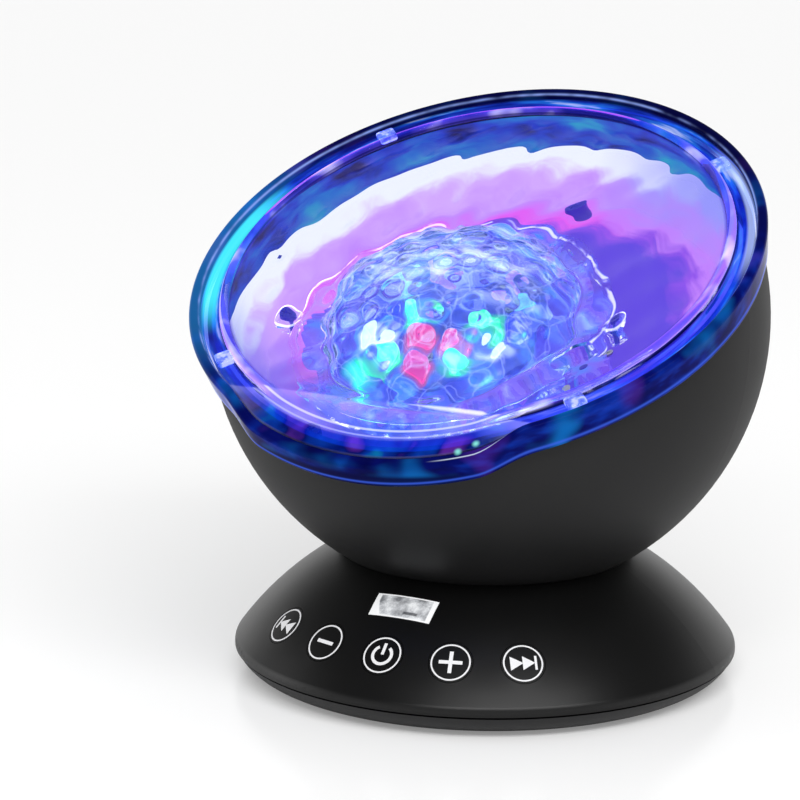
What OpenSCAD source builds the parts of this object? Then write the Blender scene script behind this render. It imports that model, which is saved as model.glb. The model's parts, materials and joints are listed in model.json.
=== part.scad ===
// Ocean wave projector: a ball-shaped lamp head on a saucer-shaped foot.
// Millimetres, +Z up. The origin is on the floor, on the axis of the foot. The front faces -Y.

/* [Ball] */
// Outer radius of the ball-shaped bowl
ball_r = 72; // [66:0.5:78]
// How far the ball's round would reach below its flat seat
ball_sink = 2.7; // [2.2:0.1:3]
// Wall of the bowl
bowl_wall = 2.4; // [1.8:0.1:3]
// Tilt of the sloping opening towards the front, in degrees
head_tilt = 27.75; // [20:0.25:32]
// Height of the bowl's open edge above the ball's centre, along the tilted axis
bowl_edge = 14.4; // [13:0.1:15]

/* [Cover] */
// How far the cover's upright rim stands out beyond the ball
rim_over = 2.75; // [2.5:0.05:4]
// Radius of the rounded top of the rim's wall
roll_r = 1.4; // [1.2:0.1:1.8]
// Height of the top of the rim above the bowl's edge
rim_rise = 5; // [4.4:0.1:5.6]
// Height of the window's top above the bowl's edge
window_rise = 3.6; // [3:0.1:4]
// Thickness of the clear window
window_t = 2.4; // [1.8:0.1:3]
// Distance of the raised ring inside the rim's outer line
ridge_in = 9.15; // [8.8:0.05:10]
// Width of the raised ring
ridge_w = 2.6; // [2:0.1:3]
// How far the skirt hangs below the bowl's edge
skirt_drop = 3.8; // [3:0.1:5]
// Distance of the chin's straight fold inside the rim's outer line
fold_in = 17.75; // [16:0.25:20]
// Half of the chin's angle, in degrees
chin_half = 29; // [25:0.5:33]
// Downward slope of the chin, in degrees
chin_slope = 13; // [10:0.5:14]
// How far the chin's lip stands out beyond the rim
lip_over = 1.45; // [0.9:0.05:3]
// Thickness of the chin's lip
lip_t = 2.8; // [2.4:0.1:4]
// Height of the chin's lip
lip_h = 7; // [6:0.1:9]
// Width of a cover clip
clip_w = 5; // [4:0.1:7]
// Angle of the clips from the front and from the back, in degrees
clip_angle = 45; // [40:1:50]

/* [Tray and dome] */
// Depth of the tray's floor below the ball's centre
tray_depth = 8; // [7:0.1:9]
// Distance of the edge of the tray's flat floor from the bowl's wall
floor_in = 9.6; // [8.6:0.1:10.6]
// Distance of the tray's upper edge from the bowl's wall
edge_in = 3.2; // [3:0.1:3.6]
// Height of the tray's upper edge above the ball's centre
tray_rise = 3.5; // [2:0.1:5]
// Thickness of the tray
tray_t = 2; // [1.6:0.1:2.2]
// Room between the dome's ring and the edge of the tray's floor, on the side where it is close
dome_room = 5.7; // [4.7:0.1:6.7]
// Radius of the dome at its base, without the knobs
dome_r = 33.8; // [33:0.1:34]
// Height of the dome, without the knobs
dome_h = 18.6; // [16:0.1:19]
// Wall of the dome
dome_wall = 1.8; // [1.4:0.1:2]
// Distance between neighbouring knobs
knob_gap = 8; // [7:0.5:10]
// Height of a knob
knob_h = 1.1; // [0.6:0.1:1.2]

/* [Drive] */
// Tooth module of the gear pair
gear_module = 1; // [0.98:0.01:1.02]
// Teeth of the dome's gear ring
dome_teeth = 76; // [75:1:77]
// Teeth of the pinion
pinion_teeth = 12; // [11:1:12]
// Thickness of the gear ring
gear_t = 3; // [2.5:0.1:3.2]
// Bore radius of the gear ring
gear_bore_r = 31.05; // [30.5:0.05:31.2]
// Radial running clearance of the gear ring and of the shaft
run_gap = 0.05; // [0.03:0.01:0.08]
// Direction of the pinion from the dome's axis, in degrees
drive_angle = -14; // [-18:1:-12]
// Radius of the motor's shaft
shaft_r = 1.5; // [1:0.1:1.6]
// Direction of the retainer's screw ears, in degrees
ear_angle = 8; // [6:1:12]
// Distance of the ears' screws from the dome's axis
ear_circle = 45; // [44:0.1:45.5]

/* [Foot] */
// Widest radius of the foot
base_r = 65.4; // [64.5:0.1:68]
// How much larger than that the radius of the domed upper shell is
cap_over = 14.6; // [12.6:0.1:18.6]
// Rounding of the foot's rim
edge_r = 3; // [2.6:0.1:3.6]
// Height of the widest line of the foot
rim_z = 7.1; // [6.8:0.1:7.6]
// Lower edge of the upper shell
seam_top = 6.4; // [6.2:0.1:6.6]
// Width of the open seam line
seam_gap = 0.6; // [0.4:0.1:0.8]
// Distance of the edge of the flat underside from the widest radius
foot_in = 7.1; // [5.4:0.1:8.4]
// Rounding of the lower shell's flank
flank_r = 10; // [9:0.5:14]
// Wall of both shells
base_wall = 2.4; // [2:0.1:2.6]
// Height of the non-slip ring below the lower shell
foot_rise = 0.8; // [0.5:0.1:1.2]
// Height of the flat seat under the ball
pad_z = 24; // [23.6:0.1:24.6]

/* [Keys] */
// Radius of a key
key_r = 5.5; // [5:0.1:5.8]
// Distance of the keys from the widest radius of the foot, seen from above
key_in = 8.1; // [7.6:0.1:8.8]
// Angle between neighbouring keys, in degrees
key_pitch = 17.9; // [17.2:0.1:18.6]
// Travel of a key
key_travel = 0.6; // [0.3:0.05:0.8]
// Gap round a key
key_gap = 0.15; // [0.1:0.01:0.25]

/* [Receiver window] */
// Width of the window
window_w = 17; // [14:0.5:18]
// Length of the window up the slope
window_l = 7; // [6:0.1:7.4]
// Distance of the window's middle from the widest radius of the foot
window_in = 19.2; // [18.8:0.1:19.8]

/* [Inside the foot] */
// Width of the main board
board_w = 44; // [42:1:46]
// Thickness of the boards
board_t = 1.6; // [1.2:0.1:2]
// Radius of the speaker
speaker_r = 20; // [18:0.5:21]
// Height of the speaker's basket
basket_h = 8; // [6:0.5:9]
// Distance of the speaker from the foot's axis, towards the front
speaker_y = 14; // [13:0.5:16]
// Half width of the flat facet for the sockets
bay_half = 17; // [16:0.5:19]
// Distance of that facet from the widest radius of the foot
bay_in = 8.4; // [7.8:0.1:9]

/* [Hidden] */
$fn = 64;

// Colours
black_satin = [0.09, 0.09, 0.1];
black_grey = [0.14, 0.14, 0.15];
clear_blue = [0.25, 0.35, 0.95, 0.45];
clear_lilac = [0.7, 0.72, 1, 0.5];
tray_white = [0.93, 0.92, 0.98];
steel = [0.75, 0.76, 0.78];
board_green = [0.1, 0.35, 0.2];

// Clearances and small steps
fit = 0.1;       // between pieces that are put together
slip = 0.3;      // between a moving piece and what it passes
eps = 0.01;      // overlap of cutting tools
weld = 0.5;      // overlap of shapes that join
far = 200;       // longer than the object

// Ball and cover, along the tilted axis
ball_z = pad_z + ball_r - ball_sink;
bowl_inner = ball_r - bowl_wall;
cover_r = ball_r + rim_over;
ridge_r = cover_r - ridge_in;
chin_chord = cover_r - fold_in;
lip_r = cover_r + lip_over;
window_top = bowl_edge + window_rise;
window_under = window_top - window_t;
roll_centre = [cover_r - roll_r, bowl_edge + rim_rise - roll_r];
skirt_bottom = bowl_edge - skirt_drop;
skirt_gap = 0.3;
skirt_in = sqrt(ball_r * ball_r - skirt_bottom * skirt_bottom) + skirt_gap;
skirt_taper = 1.2;
skirt_out = cover_r - skirt_taper;
valley_drop = 0.8;
valley_top = window_top - valley_drop;
valley_in = ridge_r + ridge_w / 2;
bowl_edge_in = sqrt(bowl_inner * bowl_inner - bowl_edge * bowl_edge);
chin_wall = window_t;
lip_mid_r = lip_r - lip_t / 2;
lip_top = window_top - (lip_mid_r - chin_chord) * tan(chin_slope);
lip_low = lip_top - lip_h + lip_t / 2;
lip_high = lip_top - lip_t / 2;
lip_half = chin_half + atan(2 * weld / lip_mid_r);
clip_t = 1.4;
clip_leg = 6;
clip_root = 1;
clip_bar_h = 1.6;
clip_bar_sink = 0.5;
clip_out = bowl_edge_in - slip;

// Tray: its wall is part of a ball through the floor's edge and the rim
tray_floor_r = bowl_inner - floor_in;
tray_rim_r = bowl_inner - edge_in;
tray_ball_s = (tray_rim_r * tray_rim_r - tray_floor_r * tray_floor_r
    + tray_rise * tray_rise - tray_depth * tray_depth) / (2 * (tray_rise + tray_depth));
tray_ball_r = norm([tray_floor_r, tray_depth + tray_ball_s]);
tray_under = -tray_depth - tray_t;
post_in = 5;
post_circle = tray_floor_r - post_in;
post_angles = [90, 235, 305];
post_r = 3.6;
bowl_floor_r = 24;
boss_drop = 3;
led_post_r = 2.2;

// Screws: shank radius, head radius, head height
m3 = [1.4, 2.6, 1.8];
m2 = [0.9, 1.8, 1.2];
screw_grip = 6;
screw_bite = 4;     // of the small screws in plastic
board_bite = 3;
tip_gap = 0.5;      // between a screw's tip and the end of its hole
head_gap = 0.4;
cross_len = 1.2;    // screw's cross slot, times the head's radius
cross_w = 0.4;      // times the shank's radius
cross_depth = 0.5;  // times the head's height

// Gear pair, with slender teeth that leave backlash
pressure_angle = 20;
backlash = 0.22;
gear_pitch_r = gear_module * dome_teeth / 2;
pinion_pitch_r = gear_module * pinion_teeth / 2;
gear_rise = 0.5;    // tooth heights and depths, in modules
gear_depth = 1.25;
pinion_rise = 0.9;
pinion_depth = 0.85;
gear_tip_r = gear_pitch_r + gear_rise * gear_module;
gear_root_r = gear_pitch_r - gear_depth * gear_module;
pinion_tip_r = pinion_pitch_r + pinion_rise * gear_module;
pinion_root_r = pinion_pitch_r - pinion_depth * gear_module;
drive_distance = gear_pitch_r + pinion_pitch_r;
gear_bottom = -tray_depth + fit;
gear_top = gear_bottom + gear_t;
collar_r = gear_bore_r - run_gap;
collar_t = 2;
collar_drop = 0.4;
collar_top = gear_top - collar_drop;
pinion_inset = 0.1;
pinion_t = gear_t - 2 * pinion_inset;
shaft_proud = 0.4;

// Retainer ring over the gear's edge
retainer_in = dome_r + knob_h + slip;
retainer_gap = 0.15;
retainer_under = gear_top + retainer_gap;
retainer_t = 1.4;
retainer_room = 2;
retainer_wall = 1.8;
retainer_skirt_in = gear_tip_r + retainer_room;
retainer_out = retainer_skirt_in + retainer_wall;
retainer_top = retainer_under + retainer_t;
dome_offset = tray_floor_r - retainer_out - dome_room;
ear_r = 4;
ear_post_r = 2.8;
pinion_clear = 0.8;
pinion_room = pinion_tip_r + pinion_clear;

// Light board inside the collar
led_stand = 1.5;
led_board_gap = 2.4;
led_board_r = collar_r - collar_t - led_board_gap;
led_board_under = -tray_depth + led_stand;
led_board_top = led_board_under + board_t;
led_r = 2.5;
led_body_h = 2.4;
led_flange = 0.4;
led_outer_circle = 20;
led_inner_circle = 10;
led_screw_circle = 15;
led_screw_angles = [30, 150, 270];
red_angles = [[0, 150, 210], [-30, 30]];    // on the outer and on the inner circle, from the front
green_angles = [[-30, 30, 120, 240], [-90, 90]];
blue_angles = [[-90, 90, 180], [180]];
white_angles = [[-60, 60], []];
loom_r = 1.8;

// Motor under the tray
gearbox_size = [12, 10, 9];
motor_len = 15;
motor_r = 6;
motor_screw_gap = 9.5;
motor_ear_w = 8;
motor_plate_t = 1.2;
motor_boss = [2.4, 1];
case_inset = 1;
shaft_well = 7.5;
shaft_depth = 7;

// Foot: the upper shell is a cap of a ball whose centre lies on the axis
cap_r = base_r + cap_over;
foot_r = base_r - foot_in;
edge_centre = [base_r - edge_r, rim_z];
cap_z = rim_z - sqrt(pow(cap_r - edge_r, 2) - pow(base_r - edge_r, 2));
edge_dir = (edge_centre - [0, cap_z]) / norm(edge_centre - [0, cap_z]);
seat_gap = fit;
seam_bottom = seam_top - seam_gap;
flank_step = 0.5;
flank_top_r = base_r - flank_step;
flank_chord = [flank_top_r - foot_r, seam_bottom - foot_rise];
flank_mid = [flank_top_r + foot_r, seam_bottom + foot_rise] / 2;
flank_back = sqrt(flank_r * flank_r - flank_chord * flank_chord / 4);
flank_centre = flank_mid + flank_back * [-flank_chord[1], flank_chord[0]] / norm(flank_chord);
floor_top = foot_rise + base_wall;
tongue_t = 1.6;
tongue_gap = 0.6;
tongue_top = rim_z + 2;
tongue_out = sqrt(pow(cap_r - base_wall, 2) - pow(tongue_top + tongue_gap - cap_z, 2)) - tongue_gap;
tongue_in = tongue_out - tongue_t;
pad_under = pad_z - base_wall;
wire_hole_r = 6;
neck_circle = 13;
neck_count = 3;
neck_turn = 30;
neck_boss_r = 3.4;
neck_boss_h = 8;
boss_angles = [65, 140, 220, 295];
boss_in = 13.4;
boss_circle = base_r - boss_in;
boss_r = 3.8;
boss_join = 10;
rubber_in = 11.3;
rubber_w = 6;
rubber_out = foot_r - rubber_in;
foot_seat = 1;

// Keys, along the outward normal of the upper shell
key_lean = asin((base_r - key_in) / cap_r);
key_flange_w = 1.1;
key_flange_r = key_r + key_flange_w;
key_sag = key_flange_r * key_flange_r / (2 * (cap_r - base_wall));
key_flange_top = -(base_wall + key_sag + slip);
key_flange_t = 1;
key_stem_r = 2;
switch_h = 1.8;
switch_w = 4.5;
plunger_r = 1.2;
plunger_h = 0.8;
stem_len = 0.8;
stem_rest = 0.05;
solder_gap = 0.06;
stem_bottom = key_flange_top - key_flange_t - stem_len;
plunger_top = stem_bottom - key_travel - stem_rest;
carrier_face = plunger_top - plunger_h - switch_h - solder_gap;
carrier_t = 1.6;
carrier_len = 13;
carrier_half = 2.5 * key_pitch;
carrier_post_r = 1.7;
carrier_hole = 3.6;
key_hole_r = key_r + key_gap;

// Receiver window and the receiver behind it
window_lean = asin((base_r - window_in) / cap_r);
receiver_t = 2;
receiver_ledge = 1.5;
ir_size = [6, 6, 3.6];
ir_lens_r = 2.2;
ir_tab_w = 11;
ir_tab_len = 9;
ir_drop = 0.4;
ir_lens_sink = 0.8;

// Main board and its sockets
bay_y = base_r - bay_in;
board_front = 16;
board_gap = 1.2;
board_back = bay_y - base_wall - board_gap;
board_under = 9;
board_top = board_under + board_t;
board_screw_in = 4;
stand_r = 2.6;
usb_size = [9, 7.5, 3.2];
usb_x = -8;
usb_wall = 0.3;
usb_back = 1.2;
usb_tongue = [6.6, 5.9, 0.7];
socket_inset = 0.4;
jack_x = 8;
jack_size = [6.5, 11, 5.2];
jack_nose_r = 2.6;
jack_nose_sink = 1;
jack_bore_r = 1.8;
bay_floor_t = 1.6;

// Speaker
magnet_r = 9;
magnet_h = 4.5;
basket_wall = 0.9;
basket_rim = 1.2;
basket_lip = 2;
cone_t = 0.6;
cone_rim = 1.6;
cone_low = 0.2;
cone_h = 4.2;
dust_r = 6;
dust_h = 3;
grille_hole_r = 1.4;
grille_step = 5.2;

// Lead from the main board through the neck to the light board, in round numbers; its upper end
// moves with the ball
loom_start = [0, 26, board_top];
loom_lead = 12;
loom_points = [[0, 26, 14], [0, 22, 18], [0, 13, 19], [0, 5, 20], [0, 1, 25], [0, 0, 34],
    [0, 0, 48], [-dome_offset / 4, 2, ball_z - 31], [-dome_offset * 2 / 3, 6, ball_z - 20]];

// Places

// On the tilted axis of the head, at the ball's centre
module at_head() {
    translate([0, 0, ball_z]) rotate([head_tilt, 0, 0]) children();
}

// On the dome's axis, at the height of the ball's centre
module at_dome() {
    at_head() translate([-dome_offset, 0, 0]) children();
}

// On the pinion's axis
module at_pinion() {
    at_dome() rotate([0, 0, drive_angle]) translate([drive_distance, 0, 0]) children();
}

// On the upper shell's surface, turned round the foot and leaned out along its normal
module at_cap(turn, lean) {
    rotate([0, 0, turn]) translate([0, 0, cap_z]) rotate([lean, 0, 0])
        translate([0, 0, cap_r]) children();
}

// On key number i of 0 to 4, from left to right; halves stand between two keys
module at_key(i) {
    at_cap(key_pitch * (i - 2), key_lean) children();
}

// At each tray screw, on the head's axis
module at_posts() {
    at_head() for (a = post_angles) rotate([0, 0, a]) translate([post_circle, 0, 0]) children();
}

// At each screw between the ball and the foot
module at_neck() {
    for (i = [0 : neck_count - 1]) rotate([0, 0, neck_turn + 360 / neck_count * i])
        translate([neck_circle, 0, 0]) children();
}

// At each base screw
module at_bosses() {
    for (a = boss_angles) rotate([0, 0, a - 90]) translate([boss_circle, 0, 0]) children();
}

// At each corner screw of the main board
module at_board_screws() {
    for (x = [-1, 1], y = [board_front + board_screw_in, board_back - board_screw_in])
        translate([x * (board_w / 2 - board_screw_in), y, 0]) children();
}

// Shapes that repeat

// Ring standing on z = low
module tube(outer, inner, low, high) {
    translate([0, 0, low]) difference() {
        cylinder(r = outer, h = high - low);
        translate([0, 0, -eps]) cylinder(r = inner, h = high - low + 2 * eps);
    }
}

// Screw with its head's seat at z = 0 and its shank downwards
module screw(size, grip) {
    translate([0, 0, -grip]) cylinder(r = size[0], h = grip + eps);
    difference() {
        cylinder(r = size[1], h = size[2]);
        for (a = [0, 90]) rotate([0, 0, a])
            translate([-size[1] * cross_len / 2, -size[0] * cross_w / 2, size[2] * (1 - cross_depth)])
                cube([size[1] * cross_len, size[0] * cross_w, size[2]]);
    }
}

// Hole for a screw's shank, from z = -depth to z = high
module shank_hole(size, depth, high) {
    translate([0, 0, -depth]) cylinder(r = size[0] + fit / 2, h = depth + high);
}

// Right half of a disc, for turned profiles
module half_disc(r, centre_z) {
    intersection() {
        translate([0, centre_z]) circle(r, $fn = 128);
        translate([0, centre_z - r]) square([r, 2 * r]);
    }
}

// Profile of the foot above z = low, set in by a wall
module foot_profile(inset, low) {
    inner_edge = max(edge_r - inset, 0.2);
    intersection() {
        half_disc(cap_r - inset, cap_z);
        polygon([[0, low], [edge_centre[0], low], edge_centre, edge_centre + far * edge_dir,
            [0, far]]);
    }
    intersection() {
        translate(edge_centre) circle(inner_edge);
        translate([0, low]) square(far);
    }
    translate([0, low]) square([edge_centre[0] + inner_edge, rim_z - low]);
}

// Gear outline: each tooth has involute flanks and a flat tip
function involute(r, base) = r <= base ? 0 : tan(acos(base / r)) * 180 / PI - acos(base / r);
function tooth_half(r, teeth, pitch_r) =
    let (base = pitch_r * cos(pressure_angle))
    90 / teeth - backlash / pitch_r * 90 / PI + involute(pitch_r, base) - involute(r, base);
function gear_points(teeth, pitch_r, root_r, tip_r) =
    let (radii = [root_r, pitch_r * cos(pressure_angle) + 0.02, pitch_r, tip_r])
    let (flank = [for (r = radii) if (r >= root_r) r])
    [for (i = [0 : teeth - 1]) let (mid = 360 * i / teeth) each concat(
        [for (r = flank) let (a = mid - tooth_half(r, teeth, pitch_r)) r * [cos(a), sin(a)]],
        [for (k = [len(flank) - 1 : -1 : 0])
            let (r = flank[k], a = mid + tooth_half(r, teeth, pitch_r)) r * [cos(a), sin(a)]])];

// Head

// Ball-shaped housing, open at the slope, with a flat under it and posts for the tray
module bowl_shell() color(black_satin) difference() {
    union() {
        rotate_extrude() difference() {
            half_disc(ball_r, ball_z);
            difference() {
                half_disc(bowl_inner, ball_z);
                translate([0, pad_z]) square([bowl_floor_r, bowl_wall]);
            }
            square([far, pad_z]);
        }
        intersection() {
            translate([0, 0, ball_z]) sphere(ball_r - bowl_wall / 2, $fn = 128);
            union() {
                at_neck() translate([0, 0, pad_z + eps]) cylinder(r = neck_boss_r, h = neck_boss_h);
                at_posts() translate([0, 0, -ball_r]) cylinder(r = post_r, h = ball_r + tray_under);
            }
        }
    }
    translate([0, 0, pad_z - 1]) cylinder(r = wire_hole_r, h = bowl_wall + 2);
    at_neck() translate([0, 0, pad_z]) shank_hole(m3, 1, screw_grip);
    at_posts() translate([0, 0, tray_under]) shank_hole(m3, screw_grip, 1);
    at_head() {
        translate([-far / 2, -far / 2, bowl_edge]) cube(far);
        intersection() {
            chin_wedge(far, fit);
            chin_slab_over(-chin_wall - fit);
        }
    }
}

// Pie-shaped room of the chin, in front of its fold, widened by a gap
module chin_wedge(reach, gap) {
    half = chin_half + atan(gap / ball_r);
    intersection() {
        translate([0, 0, -reach / 2]) linear_extrude(reach)
            polygon([[0, 0], reach * [-tan(half), -1], reach * [tan(half), -1]]);
        translate([-reach, gap - reach - chin_chord, -reach / 2]) cube([2 * reach, reach, reach]);
    }
}

// Everything above the chin's sloping plane, moved up by lift
module chin_slab_over(lift) {
    translate([0, -chin_chord, window_top + lift / cos(chin_slope)]) rotate([chin_slope, 0, 0])
        translate([-far / 2, -far / 2, 0]) cube(far);
}

// Turned part of the cover: upright rim with a round top, skirt, valley, raised ring and window
module cover_profile() {
    rim_in = cover_r - 2 * roll_r;
    translate(roll_centre) circle(roll_r);
    polygon([[skirt_in, skirt_bottom], [skirt_out, skirt_bottom], [cover_r, roll_centre[1]],
        [rim_in, roll_centre[1]], [rim_in, valley_top], [valley_in, valley_top],
        [valley_in, bowl_edge], [skirt_in, bowl_edge]]);
    translate([ridge_r - ridge_w / 2, window_under])
        square([roll_centre[0] - ridge_r + ridge_w / 2, valley_top - window_under]);
    translate([ridge_r, window_top]) circle(ridge_w / 2);
    translate([ridge_r - ridge_w / 2, window_under]) square([ridge_w, window_t]);
    translate([0, window_under]) square([ridge_r, window_t]);
}

// Upright bar with round edges, for the chin's lip
module lip_profile() {
    for (s = [lip_low, lip_high]) translate([lip_mid_r, s]) circle(lip_t / 2);
    translate([lip_r - lip_t, lip_low]) square([lip_t, lip_high - lip_low]);
}

// Clear cover with a straight fold and a lowered chin at the front, and four clips
module clear_cover() color(clear_blue) at_head() {
    difference() {
        rotate_extrude() cover_profile();
        chin_wedge(far, 0);
    }
    difference() {
        intersection() {
            chin_wedge(far, weld);
            cylinder(r = lip_mid_r, h = far, center = true);
        }
        chin_slab_over(0);
        translate([-far / 2, -far / 2, window_top]) cube(far);
        translate([0, 0, -far]) difference() {
            translate([-far / 2, -far / 2, 0]) cube([far, far, 2 * far]);
            translate([0, 0, far]) chin_slab_over(-chin_wall);
        }
    }
    rotate([0, 0, -90 - lip_half]) rotate_extrude(angle = 2 * lip_half) lip_profile();
    for (a = [-clip_angle, clip_angle, 180 - clip_angle, 180 + clip_angle]) rotate([0, 0, a - 90]) {
        translate([clip_out - clip_t, -clip_w / 2, bowl_edge - clip_leg])
            cube([clip_t, clip_w, clip_leg + clip_root]);
        translate([valley_in - clip_bar_sink, -clip_w / 2, valley_top - clip_bar_sink])
            cube([roll_centre[0] - valley_in, clip_w, clip_bar_h]);
    }
}

// White dish round the dome, with the collar that the gear ring turns on
module reflector_tray() color(tray_white) at_head() difference() {
    union() {
        rotate_extrude() difference() {
            intersection() {
                half_disc(tray_ball_r + tray_t, tray_ball_s);
                translate([0, tray_under]) square([far, tray_rise - tray_under]);
            }
            intersection() {
                half_disc(tray_ball_r, tray_ball_s);
                translate([0, -tray_depth]) square(far);
            }
        }
        translate([-dome_offset, 0, 0]) {
            tube(collar_r, collar_r - collar_t, -tray_depth - eps, collar_top);
            for (a = led_screw_angles) rotate([0, 0, a])
                translate([led_screw_circle, 0, tray_under - boss_drop])
                    cylinder(r = led_post_r, h = led_board_under - tray_under + boss_drop);
            for (a = [0, 180]) rotate([0, 0, ear_angle + a])
                translate([ear_circle, 0, tray_under - boss_drop])
                    cylinder(r = ear_post_r, h = boss_drop + eps);
        }
    }
    for (a = post_angles) rotate([0, 0, a])
        translate([post_circle, 0, -tray_depth]) shank_hole(m3, 2 * tray_t, 1);
    translate([-dome_offset, 0, 0]) {
        translate([0, 0, tray_under - 1]) cylinder(r = loom_r + slip, h = tray_t + 2);
        for (a = led_screw_angles) rotate([0, 0, a])
            translate([led_screw_circle, 0, led_board_under]) shank_hole(m2, screw_grip, 1);
        for (a = [0, 180]) rotate([0, 0, ear_angle + a])
            translate([ear_circle, 0, -tray_depth]) shank_hole(m2, screw_grip, 1);
        rotate([0, 0, drive_angle]) translate([drive_distance, 0, 0]) {
            translate([0, 0, tray_under - 1]) cylinder(r = shaft_r + slip, h = tray_t + 2);
            for (y = [-motor_screw_gap, motor_screw_gap])
                translate([0, y, -tray_depth]) shank_hole(m2, 2 * tray_t, 1);
        }
    }
}

module tray_screws() color(steel) at_posts()
    translate([0, 0, -tray_depth]) screw(m3, screw_grip);

// Knobs of the dome: three crossed waves over the surface, flat towards the base
function knob(u, v, share) =
    let (k = 360 / knob_gap / cos(30))
    let (wave = cos(k * u) + cos(k * (-u + sqrt(3) * v) / 2) + cos(k * (-u - sqrt(3) * v) / 2))
    knob_h * (wave + 1.5) / 4.5 * min(1, 6 * (1 - share));
// Point of the dome: share runs from the top to the base, turn goes round, lift adds to the radius
function dome_point(share, turn, radius, height, bumps) =
    let (lean = 90 * share, arc = 90 * share * (radius + height) / 2 * PI / 180)
    let (lift = bumps ? knob(arc * cos(turn), arc * sin(turn), share) : 0)
    [(radius + lift) * sin(lean) * cos(turn), (radius + lift) * sin(lean) * sin(turn),
        (height + lift) * cos(lean)];

// Knobbly clear dome: an outer and an inner skin that meet at the base
module wave_dome() color(clear_lilac) at_dome() translate([0, 0, gear_top]) {
    around = 84;
    outer_rings = 18;
    inner_rings = 6;
    outer = [for (j = [1 : outer_rings], i = [0 : around - 1])
        dome_point(j / outer_rings, 360 * i / around, dome_r, dome_h, true)];
    inner = [for (j = [inner_rings : -1 : 1], i = [0 : around - 1])
        dome_point(j / inner_rings, 360 * i / around, dome_r - dome_wall, dome_h - dome_wall, false)];
    rings = outer_rings + inner_rings;
    top = len(outer) + len(inner);
    points = concat(outer, inner, [dome_point(0, 0, dome_r, dome_h, true)],
        [dome_point(0, 0, dome_r - dome_wall, dome_h - dome_wall, false)]);
    walls = [for (j = [0 : rings - 2], i = [0 : around - 1])
        let (a = j * around + i, b = j * around + (i + 1) % around) each
        [[a, a + around, b + around], [a, b + around, b]]];
    caps = [for (i = [0 : around - 1]) let (n = (i + 1) % around, last = (rings - 1) * around) each
        [[top, i, n], [top + 1, last + n, last + i]]];
    polyhedron(points, [for (f = concat(walls, caps)) [f[0], f[2], f[1]]]);
}

// Gear ring that carries the dome and turns on the tray's collar
module dome_gear() color([0.85, 0.85, 0.88]) at_dome() difference() {
    translate([0, 0, gear_bottom]) rotate([0, 0, drive_angle]) linear_extrude(gear_t)
        polygon(gear_points(dome_teeth, gear_pitch_r, gear_root_r, gear_tip_r));
    translate([0, 0, gear_bottom - 1]) cylinder(r = gear_bore_r, h = gear_t + 2);
}

// Clear ring over the gear's teeth, with two screw ears and a gap for the pinion
module retainer_ring() color(clear_lilac) at_dome() difference() {
    union() {
        tube(retainer_out, retainer_in, retainer_under, retainer_top);
        tube(retainer_out, retainer_skirt_in, -tray_depth, retainer_under + eps);
        for (a = [0, 180]) rotate([0, 0, ear_angle + a]) {
            translate([ear_circle, 0, -tray_depth])
                cylinder(r = ear_post_r, h = retainer_top + tray_depth);
            translate([ear_circle, 0, retainer_under]) cylinder(r = ear_r, h = retainer_t);
        }
    }
    for (a = [0, 180]) rotate([0, 0, ear_angle + a])
        translate([ear_circle, 0, retainer_top]) shank_hole(m2, far, 1);
    translate([0, 0, -tray_depth - 1]) cylinder(r = retainer_skirt_in, h = retainer_under + tray_depth + 1);
    rotate([0, 0, drive_angle]) translate([drive_distance, 0, -tray_depth - 1])
        cylinder(r = pinion_room, h = far);
}

module retainer_screws() color(steel) at_dome() for (a = [0, 180]) rotate([0, 0, ear_angle + a])
    translate([ear_circle, 0, retainer_top]) screw(m2, retainer_top + tray_depth + screw_bite);

// Lights

// One light with its flange on the board
module led(shade) color(shade) {
    translate([0, 0, led_board_top]) cylinder(r = led_r + led_flange, h = led_flange + eps);
    translate([0, 0, led_board_top + led_flange]) cylinder(r = led_r, h = led_body_h);
    translate([0, 0, led_board_top + led_flange + led_body_h]) intersection() {
        sphere(led_r);
        translate([-led_r, -led_r, -eps]) cube(2 * led_r);
    }
}

// Lights of one colour, on the outer and on the inner circle
module led_group(angles, shade) at_dome() {
    for (a = angles[0]) rotate([0, 0, a - 90]) translate([led_outer_circle, 0, 0]) led(shade);
    for (a = angles[1]) rotate([0, 0, a - 90]) translate([led_inner_circle, 0, 0]) led(shade);
}

module red_leds() led_group(red_angles, [1, 0.2, 0.3]);
module green_leds() led_group(green_angles, [0.2, 0.9, 0.5]);
module blue_leds() led_group(blue_angles, [0.2, 0.3, 1]);
module white_leds() led_group(white_angles, [1, 1, 1]);

module led_board() color([0.92, 0.93, 0.92]) at_dome() difference() {
    translate([0, 0, led_board_under]) cylinder(r = led_board_r, h = board_t);
    for (a = led_screw_angles) rotate([0, 0, a])
        translate([led_screw_circle, 0, led_board_top]) shank_hole(m2, 2 * board_t, 1);
}

module led_screws() color(steel) at_dome() for (a = led_screw_angles) rotate([0, 0, a])
    translate([led_screw_circle, 0, led_board_top]) screw(m2, board_t + screw_bite);

// Drive

// Motor can with two flats and a rear bearing boss
module motor_can() color(steel) at_pinion() {
    low = tray_under - gearbox_size[2] - motor_len;
    intersection() {
        translate([0, 0, low]) cylinder(r = motor_r, h = motor_len);
        translate([-motor_r, -gearbox_size[1] / 2, low]) cube([2 * motor_r, gearbox_size[1], motor_len]);
    }
    translate([0, 0, low - motor_boss[1]]) cylinder(r = motor_boss[0], h = motor_boss[1] + eps);
}

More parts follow.
